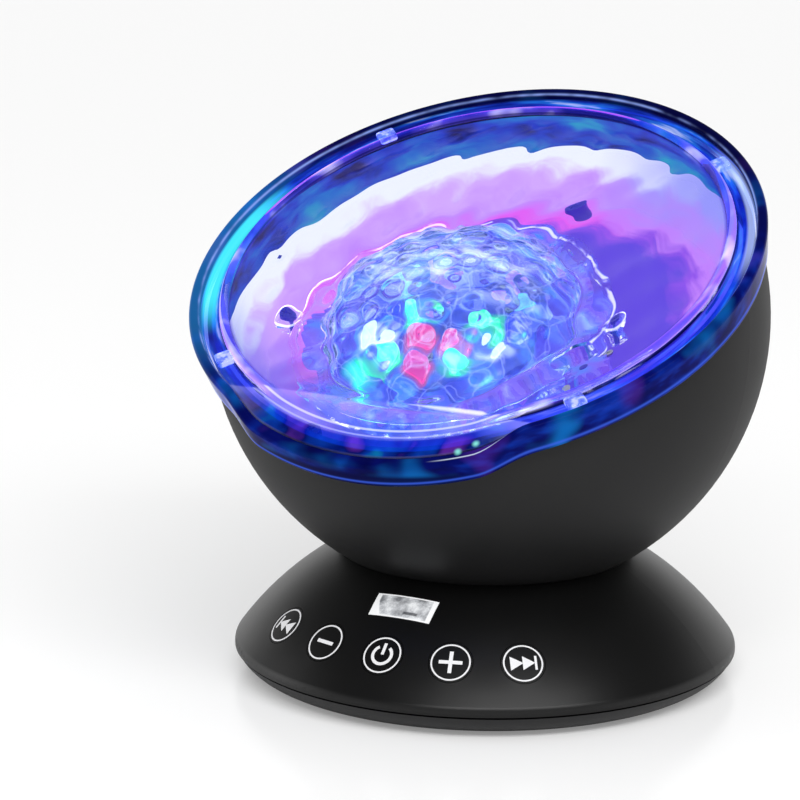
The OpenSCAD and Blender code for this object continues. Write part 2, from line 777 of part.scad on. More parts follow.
// Gearbox: a case between two plates, with mounting ears and the shaft's bore
module gearbox_case() color([0.8, 0.68, 0.4]) at_pinion() difference() {
    union() {
        for (low = [tray_under - motor_plate_t, tray_under - gearbox_size[2]])
            translate([-gearbox_size[0] / 2, -gearbox_size[1] / 2, low])
                cube([gearbox_size[0], gearbox_size[1], motor_plate_t]);
        translate([-motor_ear_w / 2, -motor_screw_gap - motor_ear_w / 2, tray_under - motor_plate_t])
            cube([motor_ear_w, 2 * motor_screw_gap + motor_ear_w, motor_plate_t]);
        translate([case_inset - gearbox_size[0] / 2, case_inset - gearbox_size[1] / 2,
            tray_under - gearbox_size[2]])
            cube([gearbox_size[0] - 2 * case_inset, gearbox_size[1] - 2 * case_inset, gearbox_size[2]]);
    }
    translate([0, 0, tray_under - shaft_well]) cylinder(r = shaft_r + run_gap, h = far);
    for (y = [-motor_screw_gap, motor_screw_gap])
        translate([0, y, tray_under]) shank_hole(m2, screw_grip, 1);
}

module motor_shaft() color(steel) at_pinion() {
    low = tray_under - shaft_depth;
    translate([0, 0, low]) cylinder(r = shaft_r, h = gear_top + shaft_proud - low);
}

// Pinion pressed on the shaft, in mesh with the dome's gear ring
module drive_pinion() color([0.9, 0.9, 0.92]) at_pinion() difference() {
    translate([0, 0, gear_bottom + pinion_inset]) rotate([0, 0, 180 + 180 / pinion_teeth])
        linear_extrude(pinion_t)
            polygon(gear_points(pinion_teeth, pinion_pitch_r, pinion_root_r, pinion_tip_r));
    translate([0, 0, gear_bottom - 1]) cylinder(r = shaft_r, h = gear_t + 2);
}

module motor_screws() color(steel) at_pinion() for (y = [-motor_screw_gap, motor_screw_gap])
    translate([0, y, -tray_depth]) screw(m2, tray_t + 2 * motor_plate_t);

// Foot

// Domed upper shell with the ball's seat, the key holes, the window and the socket facet
module base_top() color(black_satin) difference() {
    union() {
        rotate_extrude() difference() {
            union() {
                difference() {
                    foot_profile(0, seam_top);
                    foot_profile(base_wall, seam_top - 1);
                }
                intersection() {
                    foot_profile(0, seam_top);
                    half_disc(ball_r + seat_gap + base_wall, ball_z);
                    translate([0, pad_under]) square(far);
                }
            }
            intersection() {
                half_disc(ball_r + seat_gap, ball_z);
                translate([0, pad_z]) square(far);
            }
            translate([0, pad_under - 1]) square([wire_hole_r, far]);
        }
        intersection() {
            rotate_extrude() foot_profile(base_wall / 2, seam_top);
            union() {
                translate([0, 0, boss_join]) at_bosses() cylinder(r = boss_r, h = pad_z);
                translate([-bay_half - base_wall, bay_y - base_wall, 0])
                    cube([2 * (bay_half + base_wall), far, far]);
                for (i = [0.5 : 3.5]) at_key(i)
                    translate([0, 0, carrier_face]) cylinder(r = carrier_post_r, h = -carrier_face);
            }
        }
    }
    at_bosses() translate([0, 0, boss_join]) shank_hole(m3, 1, screw_grip);
    for (i = [0 : 4]) at_key(i) translate([0, 0, -2 * base_wall])
        cylinder(r = key_hole_r, h = 4 * base_wall);
    for (i = [0.5 : 3.5]) at_key(i) translate([0, 0, carrier_face]) shank_hole(m2, 1, carrier_hole);
    at_neck() translate([0, 0, pad_z]) shank_hole(m3, 2 * base_wall, 1);
    at_cap(0, window_lean) {
        translate([-window_w / 2 - fit, -window_l / 2 - fit, -receiver_t])
            cube([window_w + 2 * fit, window_l + 2 * fit, far]);
        translate([-window_w / 2 + receiver_ledge, -window_l / 2 + receiver_ledge, -3 * base_wall])
            cube([window_w - 2 * receiver_ledge, window_l - 2 * receiver_ledge, far]);
    }
    translate([-bay_half, bay_y, seam_top + bay_floor_t]) cube([2 * bay_half, far, far]);
    translate([usb_x, bay_y, board_top + usb_size[2] / 2]) rotate([90, 0, 0]) slot_hole(usb_size, fit);
    translate([jack_x, bay_y + 1, board_top + jack_size[2] / 2]) rotate([90, 0, 0])
        cylinder(r = jack_nose_r + slip, h = base_wall + 2);
}

// Round-ended hole for the power socket, along Z
module slot_hole(size, gap) {
    r = size[2] / 2 + gap;
    half = size[0] / 2 - size[2] / 2;
    translate([0, 0, -1]) {
        for (x = [-half, half]) translate([x, 0, 0]) cylinder(r = r, h = base_wall + 2);
        translate([-half, -r, 0]) cube([2 * half, 2 * r, base_wall + 2]);
    }
}

// Lower shell with a rounded flank, an upstanding tongue, stands and the sound holes
module base_bottom() color(black_grey) difference() {
    union() {
        rotate_extrude() {
            difference() {
                union() {
                    intersection() {
                        translate(flank_centre) circle(flank_r);
                        translate([flank_centre[0], foot_rise])
                            square([far, seam_bottom - foot_rise]);
                    }
                    translate([0, foot_rise]) square([flank_centre[0] + eps, seam_bottom - foot_rise]);
                }
                translate([0, floor_top]) square([tongue_in, far]);
            }
            translate([tongue_in, floor_top - eps])
                square([tongue_out - tongue_in, tongue_top - floor_top]);
        }
        at_bosses() translate([0, 0, floor_top - eps])
            cylinder(r = boss_r, h = boss_join - floor_top + eps);
        at_board_screws() translate([0, 0, floor_top - eps])
            cylinder(r = stand_r, h = board_under - floor_top + eps);
    }
    translate([-bay_half - 2 * base_wall, bay_y - 2 * base_wall, seam_bottom])
        cube([2 * (bay_half + 2 * base_wall), far, far]);
    tube(rubber_out + fit, rubber_out - rubber_w - fit, -1, foot_rise + foot_seat);
    at_bosses() {
        translate([0, 0, -1]) cylinder(r = m3[1] + head_gap, h = 1 + boss_join - screw_grip);
        shank_hole(m3, 1, far);
    }
    at_board_screws() translate([0, 0, board_under]) shank_hole(m2, 5, 1);
    translate([0, -speaker_y, 0]) for (ring = [0 : 2], i = [0 : max(6 * ring - 1, 0)])
        rotate([0, 0, 60 / max(ring, 1) * i]) translate([ring * grille_step, 0, -1])
            cylinder(r = grille_hole_r, h = floor_top + 2);
}

// Non-slip ring in its groove under the lower shell
module rubber_foot() color([0.2, 0.2, 0.2])
    tube(rubber_out, rubber_out - rubber_w, 0, foot_rise + foot_seat);

module base_screws() color(steel) at_bosses()
    translate([0, 0, boss_join - screw_grip]) rotate([180, 0, 0]) screw(m3, 2 * (screw_grip - tip_gap));

module neck_screws() color(steel) at_neck() translate([0, 0, pad_under])
    rotate([180, 0, 0]) screw(m3, base_wall + screw_grip - tip_gap);

// Keys

// Key cap flush with the shell, with a flange that holds it in and a stem for its switch
module key(i) color(black_satin) at_key(i) {
    intersection() {
        translate([0, 0, key_flange_top - eps]) cylinder(r = key_r, h = base_wall * 2);
        translate([0, 0, -cap_r]) sphere(cap_r, $fn = 128);
    }
    translate([0, 0, key_flange_top - key_flange_t]) cylinder(r = key_flange_r, h = key_flange_t);
    translate([0, 0, stem_bottom]) cylinder(r = key_stem_r, h = key_flange_top - stem_bottom - eps);
}

module key_back() key(0);
module key_minus() key(1);
module key_power() key(2);
module key_plus() key(3);
module key_forward() key(4);

// Tilted strip behind the keys, with a tab for the receiver
module key_carrier() color(board_green) difference() {
    union() {
        rotate([0, 0, -90 - carrier_half]) rotate_extrude(angle = 2 * carrier_half)
            translate([0, cap_z]) rotate(-key_lean)
                translate([-carrier_len / 2, cap_r + carrier_face - carrier_t])
                    square([carrier_len, carrier_t]);
        at_key(2) translate([-ir_tab_w / 2, carrier_len / 2 - 1, carrier_face - carrier_t - ir_drop])
            cube([ir_tab_w, ir_tab_len + 1, carrier_t]);
    }
    for (i = [0.5 : 3.5]) at_key(i) translate([0, 0, carrier_face]) shank_hole(m2, 2 * carrier_t, 1);
}

// One press switch behind each key
module key_switches() color([0.3, 0.3, 0.32]) for (i = [0 : 4]) at_key(i) {
    translate([-switch_w / 2, -switch_w / 2, carrier_face + solder_gap])
        cube([switch_w, switch_w, switch_h]);
    translate([0, 0, plunger_top - plunger_h - eps]) cylinder(r = plunger_r, h = plunger_h + eps);
}

module carrier_screws() color(steel) for (i = [0.5 : 3.5]) at_key(i)
    translate([0, 0, carrier_face - carrier_t - solder_gap]) rotate([180, 0, 0])
        screw(m2, carrier_t + carrier_hole - fit);

// Clear window, flush with the shell
module receiver_window() color([0.85, 0.87, 0.9, 0.6]) at_cap(0, window_lean) intersection() {
    translate([-window_w / 2, -window_l / 2, -receiver_t]) cube([window_w, window_l, 2 * receiver_t]);
    translate([0, 0, -cap_r]) sphere(cap_r, $fn = 128);
}

// Remote receiver with its round lens, on the carrier's tab
module ir_receiver() color([0.12, 0.1, 0.12]) at_key(2)
    translate([0, (carrier_len + ir_tab_len) / 2, carrier_face - ir_drop]) {
        translate([-ir_size[0] / 2, -ir_size[1] / 2, 0]) cube(ir_size);
        translate([0, 0, ir_size[2] - ir_lens_sink]) sphere(ir_lens_r);
    }

// Electronics in the foot

module main_board() color(board_green) difference() {
    translate([-board_w / 2, board_front, board_under]) cube([board_w, board_back - board_front, board_t]);
    at_board_screws() translate([0, 0, board_top]) shank_hole(m2, 2 * board_t, 1);
}

module board_screws() color(steel) at_board_screws()
    translate([0, 0, board_top]) screw(m2, board_t + board_bite);

// Power socket: a round-ended metal sleeve with a tongue inside
module usb_socket() color(steel)
    translate([usb_x, bay_y - usb_size[1] - socket_inset, board_top + usb_size[2] / 2])
        rotate([-90, 0, 0]) {
            difference() {
                round_bar(usb_size, usb_size[1], 0);
                translate([0, 0, usb_back]) round_bar(usb_size, usb_size[1], usb_wall);
            }
            translate([-usb_tongue[0] / 2, -usb_tongue[2] / 2, usb_back / 2])
                cube([usb_tongue[0], usb_tongue[2], usb_tongue[1]]);
        }

// Bar with round ends along Z, set in by a wall
module round_bar(size, h, inset) {
    r = size[2] / 2;
    half = size[0] / 2 - r;
    for (x = [-half, half]) translate([x, 0, 0]) cylinder(r = r - inset, h = h);
    translate([-half, -r + inset, 0]) cube([2 * half, 2 * (r - inset), h]);
}

// Audio socket: a block with a round nose and its bore
module audio_jack() color([0.08, 0.08, 0.08]) translate([jack_x, 0, board_top]) difference() {
    union() {
        translate([-jack_size[0] / 2, bay_y - base_wall - fit - jack_size[1], 0]) cube(jack_size);
        translate([0, bay_y - socket_inset, jack_size[2] / 2]) rotate([90, 0, 0])
            cylinder(r = jack_nose_r, h = base_wall + jack_nose_sink);
    }
    translate([0, bay_y + 1, jack_size[2] / 2]) rotate([90, 0, 0])
        cylinder(r = jack_bore_r, h = jack_size[1]);
}

// Speaker, facing down over the sound holes

// Basket: a flat flange, a tapered wall and a back plate
module speaker_frame() color([0.2, 0.2, 0.22]) translate([0, -speaker_y, floor_top]) rotate_extrude() {
    difference() {
        polygon([[0, 0], [speaker_r, 0], [speaker_r, basket_rim], [speaker_r - basket_lip / 2, basket_rim],
            [magnet_r + basket_wall, basket_h], [0, basket_h]]);
        polygon([[0, -1], [speaker_r - basket_lip, -1], [speaker_r - basket_lip, basket_rim],
            [magnet_r, basket_h - basket_wall], [0, basket_h - basket_wall]]);
    }
}

// Paper cone with its dust cap
module speaker_cone() color([0.1, 0.1, 0.1]) translate([0, -speaker_y, floor_top]) rotate_extrude() {
    rim = speaker_r - basket_lip - fit;
    under = [[rim, cone_low], [rim - cone_rim, cone_low], [dust_r, cone_low + cone_h],
        [0, cone_low + dust_h]];
    polygon(concat(under, [for (k = [len(under) - 1 : -1 : 0]) under[k] + [0, cone_t]]));
}

module speaker_magnet() color(steel) translate([0, -speaker_y, floor_top + basket_h])
    cylinder(r = magnet_r, h = magnet_h);

// Lead

function loom_end() =
    let (s = led_board_under)
    [-dome_offset, -s * sin(head_tilt), ball_z + s * cos(head_tilt)];
function loom_near_end() = loom_end() + loom_lead * [0, sin(head_tilt), -cos(head_tilt)];

// Smooth curve through four points, from the second to the third
function spline(p, t) = (2 * p[1] + (p[2] - p[0]) * t + (2 * p[0] - 5 * p[1] + 4 * p[2] - p[3]) * t * t
    + (3 * p[1] - p[0] - 3 * p[2] + p[3]) * t * t * t) / 2;
function unit(v) = v / norm(v);

// Tube swept along the lead's route, with flat ends
module wire_loom() color([0.7, 0.12, 0.12]) {
    sides = 8;
    steps = 3;
    knots = concat([loom_start], loom_points, [loom_near_end(), loom_end()]);
    n = len(knots);
    inner = [for (k = [0 : n - 2], t = [0 : steps - 1])
        spline([knots[max(k - 1, 0)], knots[k], knots[k + 1], knots[min(k + 2, n - 1)]], t / steps)];
    path = concat(inner, [knots[n - 1]]);
    m = len(path);
    tangent = [for (i = [0 : m - 1]) i == 0 ? [0, 0, 1]
        : i == m - 1 ? [0, -sin(head_tilt), cos(head_tilt)] : unit(path[i + 1] - path[i - 1])];
    points = [for (i = [0 : m - 1]) let (u = [1, 0, 0], d = tangent[i])
        let (a = unit(u - (u * d) * d), b = cross(d, a)) for (k = [0 : sides - 1])
        path[i] + loom_r * (cos(360 * k / sides) * a + sin(360 * k / sides) * b)];
    walls = [for (i = [0 : m - 2], k = [0 : sides - 1])
        let (p = i * sides + k, q = i * sides + (k + 1) % sides) each
        [[p, p + sides, q + sides], [p, q + sides, q]]];
    ends = [[for (k = [0 : sides - 1]) k], [for (k = [sides - 1 : -1 : 0]) (m - 1) * sides + k]];
    polyhedron(points, concat(walls, ends));
}

bowl_shell();
clear_cover();
reflector_tray();
tray_screws();
wave_dome();
dome_gear();
retainer_ring();
retainer_screws();
led_board();
led_screws();
red_leds();
green_leds();
blue_leds();
white_leds();
motor_can();
gearbox_case();
motor_shaft();
drive_pinion();
motor_screws();
base_top();
base_bottom();
rubber_foot();
base_screws();
neck_screws();
key_back();
key_minus();
key_power();
key_plus();
key_forward();
key_carrier();
key_switches();
carrier_screws();
receiver_window();
ir_receiver();
main_board();
board_screws();
usb_socket();
audio_jack();
speaker_frame();
speaker_cone();
speaker_magnet();
wire_loom();
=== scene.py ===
# %% [markdown]
# # Dressing an ocean wave projector
# The lamp is a black ball on a saucer foot. Its sloping top is closed by a thick clear cover, and
# under the cover a knobbly dome turns over coloured lights, so that the light moves like water.
# The solids come from the CAD frame. This lesson gives each of them its finish, and makes with numpy
# what a solid modeller finds hard: the rippled cover, the knobbly dome and the signs on the keys.

# %% Load the frame
import json
import math

import bpy
import numpy as np
from mathutils import Matrix


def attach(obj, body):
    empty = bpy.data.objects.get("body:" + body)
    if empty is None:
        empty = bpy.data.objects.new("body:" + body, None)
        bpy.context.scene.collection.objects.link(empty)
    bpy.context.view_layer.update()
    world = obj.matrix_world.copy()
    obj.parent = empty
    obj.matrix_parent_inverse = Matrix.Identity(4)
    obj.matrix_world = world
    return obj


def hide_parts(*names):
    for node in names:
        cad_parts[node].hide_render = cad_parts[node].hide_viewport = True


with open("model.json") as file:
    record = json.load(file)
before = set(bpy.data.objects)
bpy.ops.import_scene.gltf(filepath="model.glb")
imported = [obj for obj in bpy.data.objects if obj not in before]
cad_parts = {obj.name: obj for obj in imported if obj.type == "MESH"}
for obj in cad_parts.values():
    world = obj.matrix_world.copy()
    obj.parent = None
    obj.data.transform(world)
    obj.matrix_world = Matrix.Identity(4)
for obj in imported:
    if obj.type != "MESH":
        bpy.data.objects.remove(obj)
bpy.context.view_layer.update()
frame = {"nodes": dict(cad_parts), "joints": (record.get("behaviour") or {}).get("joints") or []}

MM = 0.001
nodes = frame["nodes"]
print("nodes in the frame:", len(nodes))

# %% [markdown]
# ## The head's own directions
# The whole head leans forward, and the joint of the turning dome knows by how much: its axis is square
# to the cover. Three unit vectors from that joint make a small coordinate frame, in which the cover
# is flat and round. Every later shape in the head is written there and then carried over.

# %% Head frame
dome_joint = next(j for j in frame["joints"] if j["name"] == "dome_spin")
AXIS = np.array(dome_joint["axis"])
RIGHT = np.array([1.0, 0.0, 0.0])
UPHILL = np.cross(AXIS, RIGHT)
BALL = np.array([0.0, 0.0, dome_joint["pos_m"][2]])
DOME_X = dome_joint["pos_m"][0]


def head_points(x, y, s):
    """World points of head coordinates: x to the right, y up the slope, s along the tilted axis."""
    return BALL + x[..., None] * RIGHT + y[..., None] * UPHILL + s[..., None] * AXIS


def head_point(x, y, s):
    """One world point of head coordinates."""
    return head_points(*np.array([x, y, s]))


print("head leans by", round(math.degrees(math.acos(AXIS[2])), 2), "degrees")

# %% [markdown]
# ## Camera
# The camera stands low and a little to the right of the keys. Its direction was fitted to the round
# edges of the ball, the cover and the foot, and the lens is long, as product photographs are. The view
# is aimed so that the lamp sits right of the middle, which keeps the lens shift at zero.

# %% Camera
VIEW_BACK = np.array([0.42982543, -0.87218376, 0.23354998])
VIEW_RIGHT = np.array([0.89551215, 0.4448428, 0.01314821])
VIEW_UP = np.array([-0.11536068, 0.20349541, 0.9722559])
VIEW_TARGET = np.array([0.0, 0.0, 62 * MM])
VIEW_DISTANCE = 900 * MM
FOCAL_PIXELS = 3476.66
FRAME_PIXELS = 800
TARGET_PIXEL = np.array([487.4, 434.1])
SENSOR = 36.0


def unit(v):
    """The vector v / |v|, of length 1."""
    return v / np.linalg.norm(v)


offset = (FRAME_PIXELS / 2 - TARGET_PIXEL) / FOCAL_PIXELS
aim = unit(-VIEW_BACK + VIEW_RIGHT * offset[0] - VIEW_UP * offset[1])
camera_right = unit(np.cross(aim, VIEW_UP))
camera_up = np.cross(camera_right, aim)
eye = VIEW_TARGET + VIEW_BACK * VIEW_DISTANCE
pose = np.eye(4)
pose[:3, :4] = np.column_stack([camera_right, camera_up, -aim, eye])
camera_data = bpy.data.cameras.new("photo_camera")
camera_data.lens = FOCAL_PIXELS * SENSOR / FRAME_PIXELS
camera_data.sensor_width = SENSOR
camera_data.clip_start = 0.05
camera = bpy.data.objects.new("photo_camera", camera_data)
bpy.context.scene.collection.objects.link(camera)
camera.matrix_world = Matrix(pose.tolist())
bpy.context.scene.camera = camera
print("lens", round(camera_data.lens, 1), "mm")

# %% [markdown]
# ## Shader expressions
# A material is a small program. Wiring its nodes by hand hides the formula, so one class wraps a socket
# and lets Python's own operators add the Math nodes, so that `1 - mask` can be written as it is read.

# %% Values in a material


class Value:
    """A number, colour or vector on its way through a material."""

    def __init__(self, finish, socket):
        self.finish = finish
        self.socket = socket

    def maths(self, operation, *terms):
        return self.finish.node("ShaderNodeMath", {"operation": operation}, terms)

    def __add__(self, other):
        return self.maths("ADD", self, other)

    __radd__ = __add__

    def __sub__(self, other):
        return self.maths("SUBTRACT", self, other)

    def __rsub__(self, other):
        return self.maths("SUBTRACT", other, self)

    def __mul__(self, other):
        return self.maths("MULTIPLY", self, other)

    __rmul__ = __mul__

    def __truediv__(self, other):
        return self.maths("DIVIDE", self, other)

    def root(self):
        return self.maths("SQRT", self)

    def size(self):
        return self.maths("ABSOLUTE", self)

    def most(self, other):
        return self.maths("MAXIMUM", self, other)

    def step(self, low, high):
        """0 below low, 1 above high and a smooth rise between; low may be the larger one."""
        settings = {"interpolation_type": "SMOOTHSTEP"}
        flip = low > high
        low, high = min(low, high), max(low, high)
        out = self.finish.node("ShaderNodeMapRange", settings, {0: self, 1: low, 2: high})
        return 1 - out if flip else out


# %% [markdown]
# ## Finishes
# What isn't plain maths goes through one method, `node`, which takes a node's type, its settings and the
# values of its sockets. The methods after it are short names for the nodes that this lamp needs. Most of
# its patterns run round the head, so one method gives the head's own coordinates at a surface point.

# %% Finishes
STREAK_CIRCLE = 60 * MM
DARK = (0.0, 0.0, 0.0)
WHITE = (1.0, 1.0, 1.0)


class Finish:
    """One material: a Principled shader with expressions on its sockets."""

    def __init__(self, name, **sockets):
        self.material = bpy.data.materials.new(name)
        self.material.use_nodes = True
        self.tree = self.material.node_tree
        self.shader = next(n for n in self.tree.nodes if n.type == "BSDF_PRINCIPLED")
        self.set(**sockets)

    def plug(self, socket, value):
        if isinstance(value, Value):
            self.tree.links.new(value.socket, socket)
        elif isinstance(value, (tuple, list)) and socket.type == "RGBA":
            socket.default_value = (*value, 1.0)
        else:
            socket.default_value = value

    def set(self, **sockets):
        for key, value in sockets.items():
            self.plug(self.shader.inputs[key.replace("_", " ").title().replace("Ior", "IOR")], value)

    def node(self, kind, settings, inputs=(), out=0):
        made = self.tree.nodes.new(kind)
        for key, value in settings.items():
            if key == "stops":
                ramp = made.color_ramp
                while len(ramp.elements) < len(value):
                    ramp.elements.new(1.0)
                for element, (place, colour) in zip(ramp.elements, value):
                    element.position = place
                    element.color = (*colour, 1.0)
            else:
                setattr(made, key, value)
        pairs = inputs.items() if isinstance(inputs, dict) else enumerate(inputs)
        for key, value in pairs:
            self.plug(made.inputs[key], value)
        return Value(self, made.outputs[out])

    def place(self):
        return self.node("ShaderNodeTexCoord", {}, out="Object")

    def along(self, vector, direction):
        settings = {"operation": "DOT_PRODUCT"}
        return self.node("ShaderNodeVectorMath", settings, [vector, tuple(direction)], "Value")

    def minus(self, vector, origin):
        return self.node("ShaderNodeVectorMath", {"operation": "SUBTRACT"}, [vector, tuple(origin)])

    def far_from(self, vector, point):
        settings = {"operation": "DISTANCE"}
        return self.node("ShaderNodeVectorMath", settings, [vector, tuple(point)], "Value")

    def noise(self, vector, size, detail=2.0, rough=0.5):
        inputs = {"Vector": vector, "Scale": 1 / size, "Detail": detail, "Roughness": rough}
        return self.node("ShaderNodeTexNoise", {}, inputs)

    def cell_edges(self, vector, size):
        """Distance to the walls between cells that are about as large as the given size."""
        inputs = {"Vector": vector, "Scale": 1 / size}
        return self.node("ShaderNodeTexVoronoi", {"feature": "DISTANCE_TO_EDGE"}, inputs, "Distance")

    def warped(self, vector, size, reach):
        """The place pushed about by a colour noise, for patterns with curling lines."""
        colour = self.node("ShaderNodeTexNoise", {}, {"Vector": vector, "Scale": 1 / size}, "Color")
        push = self.node("ShaderNodeVectorMath", {"operation": "SCALE"}, {0: colour, 3: reach})
        return self.node("ShaderNodeVectorMath", {"operation": "ADD"}, [vector, push])

    def mix(self, share, first, second):
        return self.node("ShaderNodeMix", {"data_type": "RGBA"}, {0: share, 6: first, 7: second}, 2)

    def ramp(self, share, stops):
        return self.node("ShaderNodeValToRGB", {"stops": stops}, [share])

    def bump(self, height, strength, distance):
        inputs = {"Height": height, "Strength": strength, "Distance": distance}
        self.set(normal=self.node("ShaderNodeBump", {}, inputs))

    def attribute(self, name):
        return self.node("ShaderNodeAttribute", {"attribute_name": name}, out="Fac")

    def head_way(self, direction):
        """Head coordinate of the surface point along one of the head's directions."""
        return self.along(self.minus(self.place(), BALL), direction)

    def head(self):
        """Head coordinates of the surface point: x, y, s and the distance from the head's axis."""
        x, y, s = (self.head_way(d) for d in (RIGHT, UPHILL, AXIS))
        return x, y, s, (x * x + y * y).root()

    def round_streaks(self, x, y, r, across, squeeze):
        """Texture place for streaks round the head: a point on a circle, and a squeezed third way."""
        parts = [x / r * STREAK_CIRCLE, y / r * STREAK_CIRCLE, across * squeeze]
        return self.node("ShaderNodeCombineXYZ", {}, parts)


def seen(red, green, blue):
    """A colour as seen on screen, 0 to 255, as the linear numbers that a shader takes."""
    share = np.array([red, green, blue]) / 255
    linear = np.where(share <= 0.04045, share / 12.92, ((share + 0.055) / 1.055) ** 2.4)
    return tuple(float(c) for c in linear)


def coat(names, finish):
    """Puts a finish on CAD nodes, in place of the plain one they came with."""
    for name in names:
        nodes[name].data.materials.clear()
        nodes[name].data.materials.append(finish.material)


# %% [markdown]
# ## Light, world and floor
# The lamp stands on a white table in even studio light. The world lights everything at a plain level.
# Rays that look straight at it, or see it in a gloss or through something clear, find pure white all
# round, while a gloss that looks up finds a dim ceiling, which keeps black plastic black. The world's
# nodes are wired with the same class as a finish.

# %% World
scene = bpy.context.scene
scene.view_settings.view_transform = "Standard"
WORLD_LEVEL = 0.5
CEILING_LEVEL = 0.12
CEILING_FROM, CEILING_FULL = 0.12, 0.5


class Sky(Finish):
    """The world's shader, worked like a finish."""

    def __init__(self, name):
        world = bpy.data.worlds.new(name)
        world.use_nodes = True
        scene.world = world
        self.tree = world.node_tree
        self.shader = self.tree.nodes["Background"]


sky = Sky("white_studio")
camera_ray, gloss_ray, clear_ray = (sky.node("ShaderNodeLightPath", {}, out=f"Is {kind} Ray")
                                    for kind in ("Camera", "Glossy", "Transmission"))
sky_way = sky.node("ShaderNodeTexCoord", {}, out="Generated")
upward = sky.node("ShaderNodeSeparateXYZ", {}, [sky_way], "Z")
looked_at = camera_ray.most(gloss_ray).most(clear_ray)
mirrored_up = gloss_ray * (1 - clear_ray) * upward.step(CEILING_FROM, CEILING_FULL)
sky.set(color=WHITE, strength=WORLD_LEVEL + looked_at * (1 - WORLD_LEVEL)
        - mirrored_up * (1 - CEILING_LEVEL))
print("world level", WORLD_LEVEL)

# %% [markdown]
# ## Meshes from arrays
# Every shape of this lesson is a grid of points that numpy works out at once. Two helpers turn such a
# grid into a mesh: one numbers the corners of its quads, and one makes the smooth object.

# %% Mesh helpers


def grid_faces(rows, columns, wrap):
    """Quads between neighbouring rows of a grid; with wrap, the last column meets the first."""
    row, column = np.meshgrid(np.arange(rows - 1), np.arange(columns - (not wrap)), indexing="ij")
    after = (column + 1) % columns
    corners = [row * columns + column, row * columns + after,
               (row + 1) * columns + after, (row + 1) * columns + column]
    return np.stack(corners, -1).reshape(-1, 4)


def mesh_object(name, points, faces, sharp=None):
    """A smooth-shaded mesh object at the origin, from arrays of points and faces."""
    mesh = bpy.data.meshes.new(name)
    mesh.from_pydata(np.asarray(points).reshape(-1, 3).tolist(), [], [list(map(int, f)) for f in faces])
    mesh.polygons.foreach_set("use_smooth", np.ones(len(mesh.polygons), bool))
    if sharp is not None:
        mesh.set_sharp_from_angle(angle=math.radians(sharp))
    mesh.validate()
    made = bpy.data.objects.new(name, mesh)
    scene.collection.objects.link(made)
    return made


# %% [markdown]
# ## Table
# The table is white and a little glossy, so it keeps the shadow and a soft reflection of the foot. Where
# the camera looks at it, a little extra light of its own brings it up to white.

# %% Table
FLOOR_HALF = 3.0
TABLE_LIFT = 0.23
corner = np.array([-FLOOR_HALF, FLOOR_HALF])
fx, fy = np.meshgrid(corner, corner)
floor = mesh_object("floor", np.stack([fx, fy, 0 * fx], -1), grid_faces(2, 2, False)[:, ::-1])
table = Finish("white_table", base_color=(0.97, 0.97, 0.97), roughness=0.2, specular_ior_level=0.6,
               emission_strength=TABLE_LIFT)
looked_at = table.node("ShaderNodeLightPath", {}, out="Is Camera Ray")
table.set(emission_color=table.mix(looked_at, DARK, WHITE))
floor.data.materials.append(table.material)
print("table side in m:", 2 * FLOOR_HALF)

# %% [markdown]
# ## Lamps
# Two soft boxes, a low left one and a high front one, draw the long highlights on the ball and along the
# foot's edge. Both look at the middle of the lamp, and their power is low, so that colours render about
# as they are written.

# %% Soft boxes


def soft_box(name, place, wide, high, power):
    """An area lamp that looks at the object's middle."""
    data = bpy.data.lights.new(name, "AREA")
    data.shape = "RECTANGLE"
    data.size = wide
    data.size_y = high
    data.energy = power
    lamp = bpy.data.objects.new(name, data)
    scene.collection.objects.link(lamp)
    back = unit(np.array(place) - VIEW_TARGET)
    side = unit(np.cross([0, 0, 1], back))
    turn = np.eye(4)
    turn[:3, :4] = np.column_stack([side, np.cross(back, side), back, place])
    lamp.matrix_world = Matrix(turn.tolist())


soft_box("left_box", (-1.2, -0.4, 0.35), 0.7, 0.7, 1.6)
soft_box("top_box", (0.60, -0.74, 0.96), 1.5, 0.40, 13.0)

# %% [markdown]
# ## Black housing
# The ball and the foot are moulded in black plastic with a fine satin grain. The grain is far smaller than
# a pixel from a step away, so it works mostly through the roughness. Inside the ball, above the tray, the
# wall catches the blue light of the lamp: the same finish glows there, chosen by the distance from the
# ball's centre.

# %% Black plastic
BALL_R = 72 * MM
BOWL_WALL = 2.4 * MM
INNER_SKIN = BALL_R - BOWL_WALL / 2
GRAIN = 0.35 * MM
CLOUD = 18 * MM
NIGHT_BLUE = seen(2, 10, 84)
DEEP_BLUE = seen(12, 52, 192)
SEA_BLUE = seen(16, 104, 200)
TEAL = seen(30, 160, 196)


def satin_black(name, shade, rough, gloss):
    """Black plastic: its roughness is a base plus a share of a fine and of a broad noise."""
    finish = Finish(name, base_color=(shade, shade, shade * 1.06), specular_ior_level=gloss)
    here = finish.place()
    grain = finish.noise(here, GRAIN, 3.0, 0.6)
    cloud = finish.noise(here, CLOUD)
    finish.set(roughness=rough + 0.06 * grain + 0.05 * cloud)
    finish.bump(grain, 0.12, 0.05 * MM)
    return finish


housing = satin_black("satin_black_housing", 0.008, 0.46, 0.30)
x, y, s, r = housing.head()
depth = housing.far_from(housing.place(), BALL)
lit = depth.step(INNER_SKIN + 0.2 * MM, INNER_SKIN - 0.2 * MM) * s.step(-10 * MM, 4 * MM)
swirl = housing.noise(housing.round_streaks(x, y, r, s, 2.5), 18 * MM, 3.0, 0.6)
shade = housing.ramp(swirl, [(0.32, NIGHT_BLUE), (0.46, DEEP_BLUE), (0.60, SEA_BLUE), (0.74, TEAL)])
housing.set(emission_color=housing.mix(lit, DARK, shade), emission_strength=1.0)
coat(["bowl_shell"], housing)

